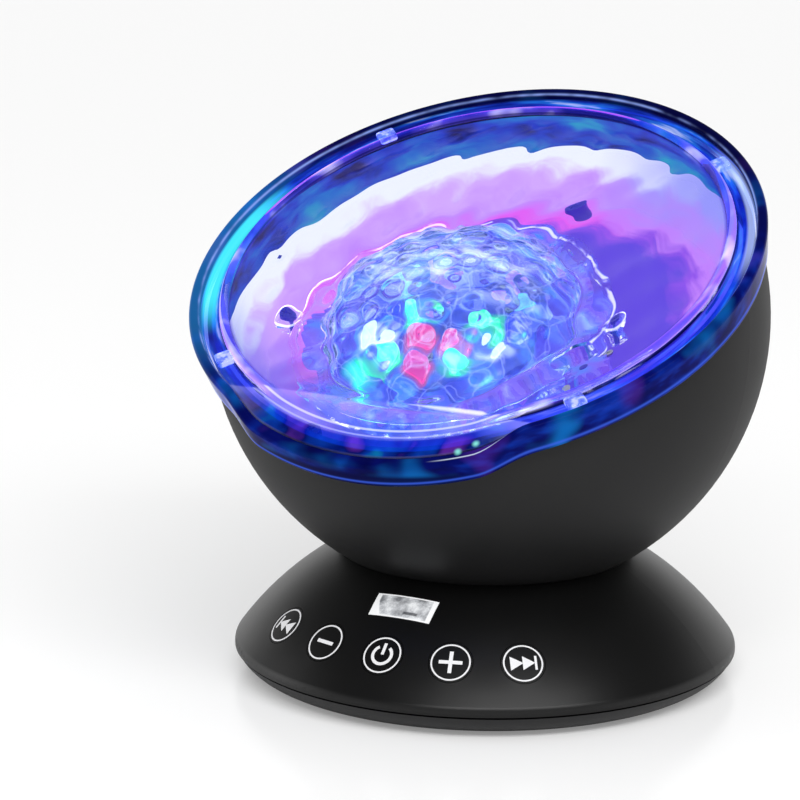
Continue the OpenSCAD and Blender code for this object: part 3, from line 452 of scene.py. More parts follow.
foot = satin_black("satin_black_foot", 0.002, 0.30, 0.34)
coat(["base_top", "key_back", "key_minus", "key_power", "key_plus", "key_forward"], foot)
under = satin_black("satin_black_under", 0.014, 0.42, 0.3)
coat(["base_bottom"], under)
print("black finishes:", [f.material.name for f in (housing, foot, under)])

# %% [markdown]
# ## The tray and its light
# The tray is a white dish. Lit from its middle it shows violet near the dome, pink further out, and
# white along its upper edge. The colours follow the distance from the head's axis, pushed about by a large
# soft noise, and they are given as light, because the tray glows more than it is lit.

# %% Lit tray
VIOLET = seen(88, 66, 210)
PURPLE = seen(140, 78, 222)
MAGENTA = seen(224, 88, 232)
PINK = seen(208, 112, 240)
LILAC = seen(190, 136, 248)
PALE_LILAC = seen(208, 166, 250)
SIDE_LILAC = seen(190, 126, 242)
SIDE_BLUE = seen(146, 150, 242)
SNOW = seen(238, 244, 255)
FRONT_BLUE = seen(54, 90, 212)
TRAY_EDGE = 67 * MM
DRIFT_REACH = 16 * MM
STREAK_REACH = 11 * MM


def facing(x, y, r, degrees):
    """How far a place lies towards an angle from the front, from -1 on the other side to 1."""
    turn = math.radians(degrees)
    return (x * math.sin(turn) - y * math.cos(turn)) / r


# The white tray's base colour is a dark violet: painted shade for the dim, coloured inside of the lamp.
tray = Finish("lit_white_tray", base_color=seen(40, 26, 90), roughness=0.5, specular_ior_level=0.1,
              emission_strength=1.0)
x, y, s, r = tray.head()
drift = tray.noise(tray.round_streaks(x, y, r, r, 1.2), 30 * MM, 1.0)
streak = tray.noise(tray.round_streaks(x, y, r, r, 4.0), 11 * MM, 4.0, 0.6)
reach = (r + (drift - 0.5) * DRIFT_REACH + (streak - 0.5) * STREAK_REACH) / TRAY_EDGE
reach = reach + 0.05 * facing(x, y, r, -120).step(0.2, 0.8)
glow = tray.ramp(reach, [(0.66, VIOLET), (0.73, PURPLE), (0.78, MAGENTA), (0.84, PINK), (0.92, LILAC),
                         (1.0, PALE_LILAC)])
side_glow = tray.ramp(reach, [(0.69, VIOLET), (0.76, PURPLE), (0.82, SIDE_LILAC), (1.0, SIDE_BLUE)])
glow = tray.mix(facing(x, y, r, 122).step(0.55, 0.85), glow, side_glow)
upper = (s + (streak - 0.5) * (8 * MM)).step(-3 * MM, 1.5 * MM)
glow = tray.mix(upper, glow, tray.mix(facing(x, y, r, 95).step(0.1, 0.7), SNOW, SIDE_BLUE))
glow = tray.mix(0.85 * y.step(-2 * MM, -40 * MM), glow, FRONT_BLUE)
tray.set(emission_color=glow)
coat(["reflector_tray"], tray)
print("tray nodes:", len(tray.tree.nodes))

# %% [markdown]
# ## Lights on their board
# Seventeen small lights stand on a round white board. Each colour is its own node. The board
# around each light takes on its colour, a soft spot of painted light mixed over a painted blue glow. The
# lights take turns, and here those of the rear half are dim, and the board carries a painted white haze
# there. Its base colour is a dim blue-grey, painted shade.

# %% Lights
LIGHT_S = -4.9 * MM
OUTER_CIRCLE = 20 * MM
INNER_CIRCLE = 10 * MM
LIGHTS = {
    "red": (seen(238, 60, 130), [0, 150, 210], [-30, 30]),
    "green": (seen(0, 232, 140), [-30, 30, 120, 240], [-90, 90]),
    "blue": (seen(40, 60, 255), [-90, 90, 180], [180]),
    "white": (seen(235, 238, 255), [-60, 60], []),
}


def light_points(outer, inner):
    """Points of the lights: angles from the front on the outer and on the inner circle."""
    turn = np.radians(np.array(outer + inner, float))
    far = np.array([OUTER_CIRCLE] * len(outer) + [INNER_CIRCLE] * len(inner))
    return head_points(DOME_X + far * np.sin(turn), -far * np.cos(turn), np.full(len(turn), LIGHT_S))


EDGE_GREEN = head_point(DOME_X - 14 * MM, -25.5 * MM, LIGHT_S)
board = Finish("lit_white_board", base_color=seen(60, 60, 110), roughness=0.45, emission_strength=1.0)
here = board.place()
y = board.head_way(UPHILL)
patch = board.noise(here, 9 * MM)
spots = board.ramp(patch, [(0.36, seen(6, 24, 140)), (0.50, seen(40, 70, 200)), (0.66, seen(60, 150, 220))])
# Painted highlight: a white haze on the rear half, which shows through the dome as pale reflections.
spots = board.mix(0.8 * y.step(3 * MM, 9 * MM) * patch.step(0.48, 0.62), spots, seen(200, 206, 252))
for colour, outer, inner in LIGHTS.values():
    for point in light_points(outer, inner):
        near = board.far_from(here, point).step(6 * MM, 3 * MM) * y.step(8 * MM, 2 * MM)
        spots = board.mix(near, spots, colour)
# Painted light: one more green spot near the board's front edge.
spots = board.mix(board.far_from(here, EDGE_GREEN).step(8 * MM, 3 * MM), spots, seen(0, 232, 150))
board.set(emission_color=spots)
coat(["led_board"], board)
for word, (colour, _, _) in LIGHTS.items():
    lens = Finish(f"{word}_light", base_color=colour, roughness=0.15, emission_strength=1.2)
    # Painted highlights: white glints on each light, spread by a noise.
    spark = lens.noise(lens.place(), 2.5 * MM)
    y = lens.head_way(UPHILL)
    shine = lens.mix(0.6 * spark.step(0.4, 0.75), colour, WHITE)
    lens.set(emission_color=lens.mix(y.step(2 * MM, 8 * MM), shine, seen(120, 130, 230)))
    coat([f"{word}_leds"], lens)
print("lights:", sum(len(o) + len(i) for _, o, i in LIGHTS.values()))

# %% [markdown]
# ## Knobbly dome
# The dome is a low clear cap covered in rounded knobs, each a small lens. Seeds are spread over the cap
# on a sunflower spiral and shaken a little. A soft bell of height stands over each seed, so that knobs and
# hollows run into each other like water, with no sharp groove that would look like cracked glass.

# %% Dome mesh
DOME_R = 33.8 * MM
DOME_H = 18.6 * MM
DOME_WALL = 1.8 * MM
KNOB_H = 0.95 * MM
KNOB_HALF = 2.1 * MM
GEAR_TOP = -4.9 * MM
KNOBS = 150
KNOB_LEAST, KNOB_MOST = 0.5, 1.1
SHAKE_SHARE, SHAKE_TURN = 0.025, 0.12
BARE_FOOT = 12
GOLDEN = math.pi * (3 - math.sqrt(5))
DOME_TURNS, OUTER_ROWS, INNER_ROWS = 280, 100, 24


def cap_points(share, turn, radius, height):
    """Half an ellipsoid about the dome's axis: share runs from the top to the base, turn goes round."""
    lean = share * math.pi / 2
    return np.stack([radius * np.sin(lean) * np.cos(turn), radius * np.sin(lean) * np.sin(turn),
                     height * np.cos(lean)], -1)


def knob_height(points, seeds, sizes):
    """Height of the knobs: a sum of soft bells, one about each seed, each with its own size."""
    apart = np.linalg.norm(points[..., None, :] - seeds, axis=-1)
    return KNOB_H * (sizes * np.exp(-((apart / KNOB_HALF) ** 2))).sum(-1)


def revolve_closed(sections):
    """Faces of a closed turned shape whose first and last rows are single points on the axis."""
    rows, columns = sections.shape[:2]
    body = grid_faces(rows - 2, columns, True) + 1
    last = (rows - 2) * columns + 1
    here = np.arange(columns)
    after = (here + 1) % columns
    top = np.stack([np.zeros(columns, int), after + 1, here + 1], -1)
    low = last - columns
    bottom = np.stack([low + here, low + after, np.full(columns, last)], -1)
    points = np.concatenate([sections[0, :1], sections[1:-1].reshape(-1, 3), sections[-1, :1]])
    return points, [*body[:, ::-1].tolist(), *top[:, ::-1].tolist(), *bottom[:, ::-1].tolist()]


rng = np.random.default_rng(7)
count = np.arange(KNOBS) + 0.5
seed_share = np.clip(np.sqrt(count / KNOBS) + rng.normal(0, SHAKE_SHARE, KNOBS), 0, 1)
seed_turn = GOLDEN * count + rng.normal(0, SHAKE_TURN, KNOBS)
seeds = cap_points(seed_share, seed_turn, DOME_R, DOME_H)
seed_size = rng.uniform(KNOB_LEAST, KNOB_MOST, KNOBS)
around = np.linspace(0, 2 * math.pi, DOME_TURNS, endpoint=False)
outer_share, outer_turn = np.meshgrid(np.linspace(0, 1, OUTER_ROWS), around, indexing="ij")
outer = cap_points(outer_share, outer_turn, DOME_R, DOME_H)
lift = knob_height(outer, seeds, seed_size) * np.clip(BARE_FOOT * (1 - outer_share), 0, 1)
outer = outer * (1 + lift / np.linalg.norm(outer, axis=-1))[..., None]
inner_share, inner_turn = np.meshgrid(np.linspace(1, 0, INNER_ROWS), around, indexing="ij")
inner = cap_points(inner_share, inner_turn, DOME_R - DOME_WALL, DOME_H - DOME_WALL)
shell = np.concatenate([outer, inner])
shell = head_points(shell[..., 0] + DOME_X, shell[..., 1], shell[..., 2] + GEAR_TOP)
points, faces = revolve_closed(shell)
dome = mesh_object("knobbly_dome", points, faces)
print("dome triangles:", sum(len(p.vertices) - 2 for p in dome.data.polygons))

# %% [markdown]
# ## The dome's finish
# The plastic is clear, and the real bending of light through the knobs does most of the work. A dim haze
# of its own light, which is painted light, a pale band of painted highlight across the rear and thin curling
# lines stand for the many small reflections inside it. One knob at the front catches a green light.

# %% Dome finish
KNOB_GREEN = head_point(-23.3 * MM, -30.5 * MM, 0.1 * MM)
dome_finish = Finish("clear_knobbly_dome", base_color=seen(196, 220, 255), roughness=0.01, ior=1.45,
                     transmission_weight=0.98, specular_tint=(0.15, 0.2, 0.4), emission_strength=1.0)
here = dome_finish.place()
haze_noise = dome_finish.noise(here, 9 * MM, 3.0, 0.6)
haze = dome_finish.ramp(haze_noise, [(0.40, seen(10, 12, 34)), (0.54, seen(40, 50, 92)), (0.64, seen(54, 104, 134)),
                               (0.76, seen(104, 112, 140))])
x, y, s, _ = dome_finish.head()
# Painted highlight: a pale band across the rear of the dome.
painted_glare_band = dome_finish.noise(dome_finish.node("ShaderNodeCombineXYZ", {}, [x, 2.2 * y, s]), 11 * MM, 3.0, 0.6)
painted_glare_band = painted_glare_band.step(0.50, 0.66) * y.step(-10 * MM, -3 * MM) * y.step(17 * MM, 9 * MM) * s.step(6 * MM, 10 * MM)
haze = dome_finish.mix(0.5 * painted_glare_band, haze, seen(206, 222, 252))
green_near = dome_finish.far_from(here, KNOB_GREEN).step(6 * MM, 1.5 * MM)
haze = dome_finish.mix(0.8 * green_near, haze, seen(10, 224, 130))
curl = dome_finish.warped(here, 5 * MM, 4 * MM)
lines = dome_finish.cell_edges(curl, 8 * MM).step(0.035, 0.01)
dome_finish.set(emission_color=dome_finish.mix(0.16 * lines, haze, seen(214, 230, 255)))
dome.data.materials.append(dome_finish.material)
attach(dome, "dome")
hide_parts("wave_dome")
print("dome finish nodes:", len(dome_finish.tree.nodes))

# %% [markdown]
# ## Clear cover
# The cover is turned like a lid on a lathe: a rippled window, a raised ring, a valley, an upright rim and a
# skirt over the ball's edge. At the front a part of it is folded down to a chin with its own lip. So there
# are two sections with the same number of points, and the angle from the front blends one into the
# other. The ripples are a sum of seeded waves, and most of them are on the underside.

# %% Cover sections
WINDOW_TOP = 18.0 * MM
WINDOW_T = 2.4 * MM
RING_R = 65.6 * MM
RING_HALF = 1.3 * MM
VALLEY_S = 17.2 * MM
ROLL_AT = np.array([73.35, 18.0]) * MM
ROLL_R = 1.4 * MM
SKIRT_FOOT = np.array([73.6, 10.7]) * MM
SKIRT_IN = 71.6 * MM
SEAT_S = 14.45 * MM
SEAT_IN = 67.0 * MM
CHIN_CHORD = 57 * MM
CHIN_SLOPE = math.tan(math.radians(13))
LIP_MID = 74.8 * MM
LIP_HALF = 1.4 * MM
LIP_HIGH = 12.49 * MM
LIP_LOW = 8.29 * MM
CHIN_FULL, CHIN_GONE = 23.0, 35.0
WINDOW_ROWS, RING_ROWS, VALLEY_ROWS, WALL_ROWS, ROLL_ROWS, SKIRT_ROWS = 84, 14, 12, 3, 20, 20
INSIDE_ROWS, SEAT_ROWS, STEP_ROWS, UNDER_ROWS = 6, 6, 3, 84


def smooth(t):
    """0 below 0, 1 above 1 and 3t^2 - 2t^3 between."""
    t = np.clip(t, 0, 1)
    return t * t * (3 - 2 * t)


def line(a, b, count):
    """Even points from a towards b, without b itself."""
    return np.linspace(a, b, count, endpoint=False)


def arc(centre, radius, start, end, count):
    """Even points on a circle between two angles in degrees, without the last one."""
    turn = np.radians(np.linspace(start, end, count, endpoint=False))
    return np.stack([centre[0] + radius * np.cos(turn), centre[1] + radius * np.sin(turn)], -1)


def turned_section():
    """Points (r, s) of the round part's section, from the top's middle round to the underside's middle."""
    under = WINDOW_TOP - WINDOW_T
    ring_in = RING_R - RING_HALF
    return np.concatenate([
        line([0, WINDOW_TOP], [ring_in, WINDOW_TOP], WINDOW_ROWS),
        arc([RING_R, WINDOW_TOP - 0.2 * MM], RING_HALF, 172, 0, RING_ROWS),
        line([RING_R + RING_HALF, VALLEY_S], [ROLL_AT[0] - ROLL_R - 0.4 * MM, VALLEY_S], VALLEY_ROWS),
        line([ROLL_AT[0] - ROLL_R, VALLEY_S + 0.2 * MM], ROLL_AT - [ROLL_R, 0], WALL_ROWS),
        arc(ROLL_AT, ROLL_R, 180, 0, ROLL_ROWS),
        line(ROLL_AT + [ROLL_R, 0], SKIRT_FOOT, SKIRT_ROWS),
        line([SKIRT_FOOT[0] - 0.4 * MM, SKIRT_FOOT[1] - 0.1 * MM], [SKIRT_IN, SEAT_S], INSIDE_ROWS),
        line([SKIRT_IN, SEAT_S], [SEAT_IN, SEAT_S], SEAT_ROWS),
        line([SEAT_IN, SEAT_S], [SEAT_IN - 0.3 * MM, under], STEP_ROWS),
        line([SEAT_IN - 0.3 * MM, under], [0, under], UNDER_ROWS),
        [[0, under]],
    ])


def chin_section():
    """Points (r, s) of the chin's section with a level plate; the slope is added where it is known."""
    under = WINDOW_TOP - WINDOW_T
    ring_in, ring_out = RING_R - RING_HALF, RING_R + RING_HALF
    lip_out = LIP_MID + LIP_HALF
    plate_out = LIP_MID - LIP_HALF
    return np.concatenate([
        line([0, WINDOW_TOP], [ring_in, WINDOW_TOP], WINDOW_ROWS),
        line([ring_in, WINDOW_TOP], [ring_out, WINDOW_TOP], RING_ROWS),
        line([ring_out, WINDOW_TOP], [plate_out, WINDOW_TOP], VALLEY_ROWS),
        line([plate_out, LIP_HIGH + LIP_HALF], [LIP_MID - 0.3 * MM, LIP_HIGH + LIP_HALF], WALL_ROWS),
        arc([LIP_MID, LIP_HIGH], LIP_HALF, 100, 0, ROLL_ROWS),
        line([lip_out, LIP_HIGH], [lip_out - 0.4 * MM, LIP_LOW - 1 * MM], SKIRT_ROWS),
        line([LIP_MID + 0.6 * MM, LIP_LOW - LIP_HALF], [plate_out, LIP_HIGH - 1.2 * MM], INSIDE_ROWS),
        line([plate_out, under], [SEAT_IN, under], SEAT_ROWS),
        line([SEAT_IN, under], [SEAT_IN - 0.3 * MM, under], STEP_ROWS),
        line([SEAT_IN - 0.3 * MM, under], [0, under], UNDER_ROWS),
        [[0, under]],
    ])


def ripples(x, y, seed, lengths):
    """Water-like height between about -1 and 1: waves of the given lengths in seeded directions."""
    rng = np.random.default_rng(seed)
    height = np.zeros_like(x)
    bend = np.sin(x / (9 * MM) + 2 * np.sin(y / (13 * MM)))
    for length in lengths:
        way, phase = rng.uniform(0, 2 * math.pi, 2)
        height += np.sin(2 * math.pi * (x * math.cos(way) + y * math.sin(way)) / length + phase + 0.8 * bend)
    return height / math.sqrt(len(lengths))


# %% [markdown]
# ## Blending the two sections
# Each angle round the head takes its share of the chin's section: all of it in front, none of it beyond
# the chin's corners, and a smooth change between, which draws the S-shaped step there. The chin's plate
# falls along a straight fold. Ripples are added last and calm down before the ring and the fold.

# %% Cover mesh
TURNS = 320
RISE_MOST = 3 * MM
CALM_R = 63.5 * MM
CALM_WIDE = 5 * MM
TOP_WAVE, TOP_LENGTHS = 0.07 * MM, np.array([34, 26, 19, 14]) * MM
LOW_WAVE, LOW_LENGTHS = 0.30 * MM, np.array([30, 22, 16, 12, 9]) * MM
turned, chin = turned_section(), chin_section()
rows = len(turned)
index = np.arange(rows)[:, None]
ring_row = WINDOW_ROWS
valley_row = ring_row + RING_ROWS
lip_row = valley_row + VALLEY_ROWS
skirt_row = lip_row + WALL_ROWS + ROLL_ROWS
inside_row = skirt_row + SKIRT_ROWS
under_row = inside_row + INSIDE_ROWS
angle = np.linspace(-math.pi, math.pi, TURNS, endpoint=False)
share = smooth((CHIN_GONE - np.abs(np.degrees(angle))) / (CHIN_GONE - CHIN_FULL))
folded = np.repeat(chin[:, None, :], TURNS, axis=1)
fall = np.maximum(folded[..., 0] * np.cos(angle) - CHIN_CHORD, 0) * CHIN_SLOPE
rise = np.minimum((LIP_MID - LIP_HALF) * (1 - np.cos(angle)) * CHIN_SLOPE, RISE_MOST)
folded[..., 1] += np.where((index < lip_row) | (index >= under_row), -fall, rise)
section = turned[:, None, :] * (1 - share[:, None]) + folded * share[:, None]
radius, height = section[..., 0], section[..., 1]
cover_x, cover_y = radius * np.sin(angle), -radius * np.cos(angle)
calm = smooth((CALM_R - radius) / CALM_WIDE) * smooth((CHIN_CHORD + cover_y) / CALM_WIDE)
top_wave = TOP_WAVE * ripples(cover_x, cover_y, 3, TOP_LENGTHS)
low_wave = LOW_WAVE * ripples(cover_x, cover_y, 5, LOW_LENGTHS)
height = height + np.where(index < ring_row, top_wave, 0) * calm
height = height + np.where(index >= under_row, low_wave, 0) * calm
cover_points, cover_faces = revolve_closed(head_points(cover_x, cover_y, height))
cover = mesh_object("rippled_cover", cover_points, cover_faces, sharp=50)
print("cover triangles:", sum(len(p.vertices) - 2 for p in cover.data.polygons))

# %% [markdown]
# ## Zones of the cover
# The same clear plastic looks different in every zone. The window is nearly colourless, the ring shines
# lavender, and the rim, where one looks along the plastic and sees the lights from the side, is a
# deep blue with bright lines at its edges. So the cover has two finishes, a glassy one and a rim one,
# and numbers kept on its points say where the lines are.

# %% Marks on the cover
DEEP_R = 67.6 * MM
DEEP_WIDE = 1.0 * MM


def ridge(values, middle, half):
    """A soft line: 1 where the values are at the middle, falling off over half a width."""
    return np.exp(-(((values - middle) / half) ** 2))


def mark(made, name, values):
    """Keeps one number per point of a turned closed mesh."""
    kept = np.concatenate([values[0, :1], values[1:-1].ravel(), values[-1, :1]])
    made.data.attributes.new(name, "FLOAT", "POINT").data.foreach_set("value", kept.astype(np.float32))


on_top = (index < lip_row) * np.ones(TURNS)
ring_mark = ((index >= ring_row) & (index < valley_row)) * (1 - share)
valley_mark = ((index >= valley_row) & (index < lip_row)) * (1 - share)
# Painted shade: the edge mark puts dark lines along both edges of the raised ring.
edge_shade_mark = np.maximum(ridge(index, ring_row + 0.5, 0.9), ridge(index, valley_row, 1.2)) * (1 - share)
deep_mark = on_top * share * smooth((radius - DEEP_R) / DEEP_WIDE)
inner_line = ridge(index, lip_row + 6.5, 1.3) * np.ones(TURNS)
bead_line = ridge(index, inside_row - 3.5, 1.2) * np.ones(TURNS)
marks = {"top": on_top, "ring": ring_mark, "valley": valley_mark, "edge": edge_shade_mark, "deep": deep_mark,
         "inner_line": inner_line, "bead_line": bead_line}
for name, values in marks.items():
    mark(cover, name, values)
print("marks:", list(marks))

# %% [markdown]
# ## Glassy part of the cover
# The window, the ring and the valley are clear, with a tint and a little light of their own where the
# plastic carries the lamp's light along; the tints by zone are painted shade and the painted colour of that
# light. The chin shows two pale arcs, a pale haze and a bright wedge along its fold, all painted highlights,
# and small spots sparkle at its corners.

# %% Clear window
GLINTS = np.array([[-35.6, -65.4, 14.0], [-32.5, -66.2, 14.2],
                   [29.3, -65.7, 16.0], [25.6, -68.6, 15.4]]) * MM
GLINT_R = 1.3 * MM
GLINT_CORE = 0.1 * MM
SECOND_ARC = 1.9 * MM


def sparkle(finish, light):
    """Adds small bright spots, where the corners of the chin catch the lights."""
    here = finish.place()
    for point in head_points(*GLINTS.T):
        near = finish.far_from(here, point).step(GLINT_R, GLINT_CORE)
        light = finish.mix(0.8 * near, light, seen(150, 255, 240))
    return light


glass = Finish("clear_window", roughness=0.0, ior=1.2, transmission_weight=1.0,
               specular_tint=(0.05, 0.05, 0.1), emission_strength=1.0)
x, y, _, r = glass.head()
streak = glass.noise(glass.round_streaks(x, y, r, r, 7.0), 16 * MM, 3.0)
shine = glass.noise(glass.round_streaks(x, y, r, r, 2.0), 14 * MM)
# The tints by zone are painted: the valley's dark blue and the ring's lavender stand for the lamp's light and
# shade, not for the clear plastic.
tint = glass.mix(glass.attribute("valley"), WHITE, seen(40, 62, 180))
tint = glass.mix(glass.attribute("ring"), tint, seen(190, 170, 250))
# Painted shade: a dark tint along the ring's edges.
tint = glass.mix(glass.attribute("edge"), tint, seen(10, 10, 70))
tint = glass.mix(glass.attribute("deep"), tint, seen(20, 40, 150))
# Painted light in the valley: blue streaks, a cyan highlight on the left and a pale one on the right, with
# painted shade darker at the front.
valley_glow = glass.ramp(streak, [(0.36, seen(6, 18, 110)), (0.48, seen(18, 48, 168)), (0.60, seen(30, 104, 210)),
                            (0.72, seen(190, 202, 252))])
left_gleam = facing(x, y, r, -83).step(0.88, 0.98) * r.step(67 * MM, 68.5 * MM)
valley_glow = glass.mix(left_gleam, valley_glow, seen(70, 236, 248))
right_gleam = facing(x, y, r, 117).step(0.9, 0.98) * r.step(69 * MM, 70 * MM)
valley_glow = glass.mix(0.7 * right_gleam, valley_glow, seen(180, 198, 248))
valley_glow = glass.mix(0.7 * facing(x, y, r, 0).step(0.35, 0.8), valley_glow, seen(40, 44, 170))
ring_light = glass.ramp(shine, [(0.38, seen(24, 24, 130)), (0.56, seen(76, 62, 196)),
                                (0.70, seen(206, 202, 255))])
# Painted highlights on the chin: a pale haze, two pale arcs and a bright wedge along the fold.
in_chin = glass.attribute("top") * y.step(-CHIN_CHORD, -CHIN_CHORD - 0.6 * MM)
arcs = (r - RING_R).size().step(0.45 * MM, 0.15 * MM)
arcs = arcs.most(0.5 * (r - (RING_R + SECOND_ARC)).size().step(0.35 * MM, 0.1 * MM))
wedge = x.step(2 * MM, 20 * MM) * x.step(30 * MM, 27 * MM)
fold = ((y + CHIN_CHORD).size() - 1.0 * MM * wedge).step(0.1 * MM, -0.8 * MM) * glass.attribute("top")
light = glass.mix(glass.attribute("ring"), DARK, ring_light)
light = glass.mix(glass.attribute("valley"), light, valley_glow)
# Painted shade: dark light along the ring's edges.
light = glass.mix(glass.attribute("edge"), light, seen(4, 6, 60))
light = glass.mix(in_chin * shine.step(0.25, 0.75) * 0.6, light, seen(150, 150, 212))
hue = glass.noise(glass.place(), 12 * MM)
deep = glass.ramp(hue, [(0.32, seen(84, 34, 140)), (0.42, seen(2, 12, 92)), (0.54, seen(4, 50, 150)),
                        (0.68, seen(10, 140, 170))])
light = glass.mix(glass.attribute("deep"), light, deep)
light = glass.mix((0.7 * in_chin * arcs).most(fold), light, seen(220, 222, 255))
glass.set(base_color=tint, emission_color=sparkle(glass, light))
print("window finish nodes:", len(glass.tree.nodes))

# %% [markdown]
# ## Rim of the cover
# The upright rim is a deep blue that drifts round the head, nearly black at the back and cyan on the left.
# This blue is painted light from the lamp over a dark navy base colour that is painted shade, with more
# painted shade at the back and below the lip's front. Two lines, one below its round top and one along its
# lower edge, are bright where the plastic's edges gather light, and a painted white highlight ends the lip on
# the right. The last lines share the faces out between the two finishes by their row.

# %% Deep blue rim
rim = Finish("deep_blue_rim", base_color=seen(4, 5, 40), roughness=0.08, specular_ior_level=0.12,
             specular_tint=(0.3, 0.4, 0.9), transmission_weight=0.1, ior=1.2, emission_strength=1.0)
here = rim.place()
x, y, s, r = rim.head()
tide = rim.noise(rim.round_streaks(x, y, r, s, 2.0), 15 * MM, 3.0, 0.6)
hue = rim.noise(here, 20 * MM)
blue = rim.ramp(tide, [(0.34, seen(0, 0, 40)), (0.52, seen(2, 10, 90)), (0.68, seen(8, 50, 164))])
blue = rim.mix(hue.step(0.54, 0.70), blue, seen(8, 100, 176))
blue = rim.mix(0.4 * hue.step(0.42, 0.30), blue, seen(84, 36, 150))
# Painted shade at the back of the rim, and painted cyan light on its left.
blue = rim.mix(0.85 * facing(x, y, r, 180).step(0.15, 0.75), blue, seen(2, 2, 34))
blue = rim.mix(0.5 * facing(x, y, r, -78).step(0.75, 0.97), blue, seen(40, 132, 204))
# Painted shade below the lip's front.
lip_zone = facing(x, y, r, -8).step(0.80, 0.90)
blue = rim.mix(0.95 * lip_zone * s.step(11.6 * MM, 9.8 * MM), blue, seen(0, 0, 48))
line_light = rim.attribute("inner_line") * tide.step(0.36, 0.6) * (1 - lip_zone)
blue = rim.mix(0.85 * line_light, blue, seen(150, 176, 255))
blue = rim.mix(0.75 * rim.attribute("bead_line"), blue, seen(60, 100, 236))
# Painted highlight: white at the right end of the lip.
right_end = rim.attribute("inner_line") * facing(x, y, r, 27).step(0.975, 0.992)
blue = rim.mix(0.9 * right_end, blue, seen(226, 238, 255))
rim.set(emission_color=sparkle(rim, blue))
cover.data.materials.append(glass.material)
cover.data.materials.append(rim.material)
face_row = np.concatenate([np.repeat(np.arange(rows - 3) + 1, TURNS), np.zeros(TURNS), np.full(TURNS, rows)])
is_rim = (face_row >= lip_row) & (face_row < under_row)
cover.data.polygons.foreach_set("material_index", is_rim.astype(np.int32))
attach(cover, "housing")
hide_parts("clear_cover")
print("rim faces:", int(is_rim.sum()))

# %% [markdown]
# ## Clips of the cover
# Four small clear blocks bridge the valley and lock the cover. A block with soft edges is a
# superellipsoid: the formula of a ball, with its sines and cosines raised to a small power.

# %% Clips
CLIP_ANGLES = (45, 135, 225, 315)
CLIP_HALF = np.array([2.2, 2.5, 0.9]) * MM
CLIP_AT = np.array([68.6, 17.6]) * MM


def soft_power(values, power):
    """The power of a number's size, with the number's own sign."""
    return np.sign(values) * np.abs(values) ** power


def soft_block(half, power=0.3, rows=24, columns=48):
    """Superellipsoid about the origin: cosines and sines to a power below 1 flatten its sides."""
    lean, turn = np.meshgrid(np.linspace(0, math.pi, rows),
                             np.linspace(0, 2 * math.pi, columns, endpoint=False), indexing="ij")
    wide = soft_power(np.sin(lean), power)
    return np.stack([half[0] * wide * soft_power(np.cos(turn), power),
                     half[1] * wide * soft_power(np.sin(turn), power),
                     half[2] * soft_power(np.cos(lean), power)], -1)


clip_finish = Finish("clear_clip", base_color=seen(200, 210, 255), roughness=0.03, ior=1.4,
                     transmission_weight=0.85, emission_strength=0.5)
# Painted light: the clips glow blue, with white painted highlights spread by a noise.
glint_noise = clip_finish.noise(clip_finish.place(), 2.5 * MM)
gleam = clip_finish.ramp(glint_noise, [(0.40, seen(8, 20, 120)), (0.52, seen(110, 140, 250)),
                                 (0.62, seen(240, 244, 255))])
clip_finish.set(emission_color=gleam)
for degrees in CLIP_ANGLES:
    turn = math.radians(degrees)
    block = soft_block(CLIP_HALF)
    far, wide = block[..., 0] + CLIP_AT[0], block[..., 1]
    points = head_points(far * math.sin(turn) + wide * math.cos(turn),
                         -far * math.cos(turn) + wide * math.sin(turn), block[..., 2] + CLIP_AT[1])
    clip = mesh_object(f"clip_{degrees}", *revolve_closed(points))
    clip.data.materials.append(clip_finish.material)
    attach(clip, "housing")
print("clips:", len(CLIP_ANGLES))

# %% [markdown]
# ## Clear ring round the dome
# The ring that keeps the dome down is fully clear, so only its outlines show: a circle and two screw ears,
# drawn as thin pale lines of painted highlight on its upper face, over a dim shimmer of painted blue light.
# The place is warped first, which makes the lines waver like the edges of a wet sheet. A warp pushes by
# half its reach on average, so the ears' centres are moved as far, and the circle's as far to the right.

# %% Retainer ring
RETAINER_OUT = 42.3 * MM
RETAINER_TOP = -3.35 * MM
WAVER = 5 * MM
RING_WAVER, EAR_WAVER = 2.4 * MM, 1.6 * MM
LINE_OUT, LINE_FULL = 0.7 * MM, 0.2 * MM
EAR_CIRCLE, EAR_R, EAR_ANGLES = 45 * MM, 4 * MM, (8, 188)
ring_finish = Finish("clear_retainer", base_color=WHITE, roughness=0.0, ior=1.2,
                     transmission_weight=1.0, specular_tint=(0.1, 0.1, 0.2), emission_strength=1.0)
here = ring_finish.place()
ring_middle = BALL + (DOME_X + RING_WAVER / 2) * RIGHT
wavy = ring_finish.minus(ring_finish.warped(here, WAVER, RING_WAVER), ring_middle)
x, y = ring_finish.along(wavy, RIGHT), ring_finish.along(wavy, UPHILL)
off_edge = ((x * x + y * y).root() - RETAINER_OUT).size()
outline_glints = off_edge.step(LINE_OUT, LINE_FULL)
for degrees in EAR_ANGLES:
    turn = math.radians(degrees)
    ear = head_point(EAR_CIRCLE * math.cos(turn) + DOME_X, EAR_CIRCLE * math.sin(turn), RETAINER_TOP)
    wavy = ring_finish.warped(here, WAVER, EAR_WAVER)
    off_edge = (ring_finish.far_from(wavy, ear + EAR_WAVER / 2) - EAR_R).size()
    outline_glints = outline_glints.most(off_edge.step(LINE_OUT, LINE_FULL))
upper_face = ring_finish.head_way(AXIS).step(RETAINER_TOP - 0.9 * MM, RETAINER_TOP - 0.3 * MM)
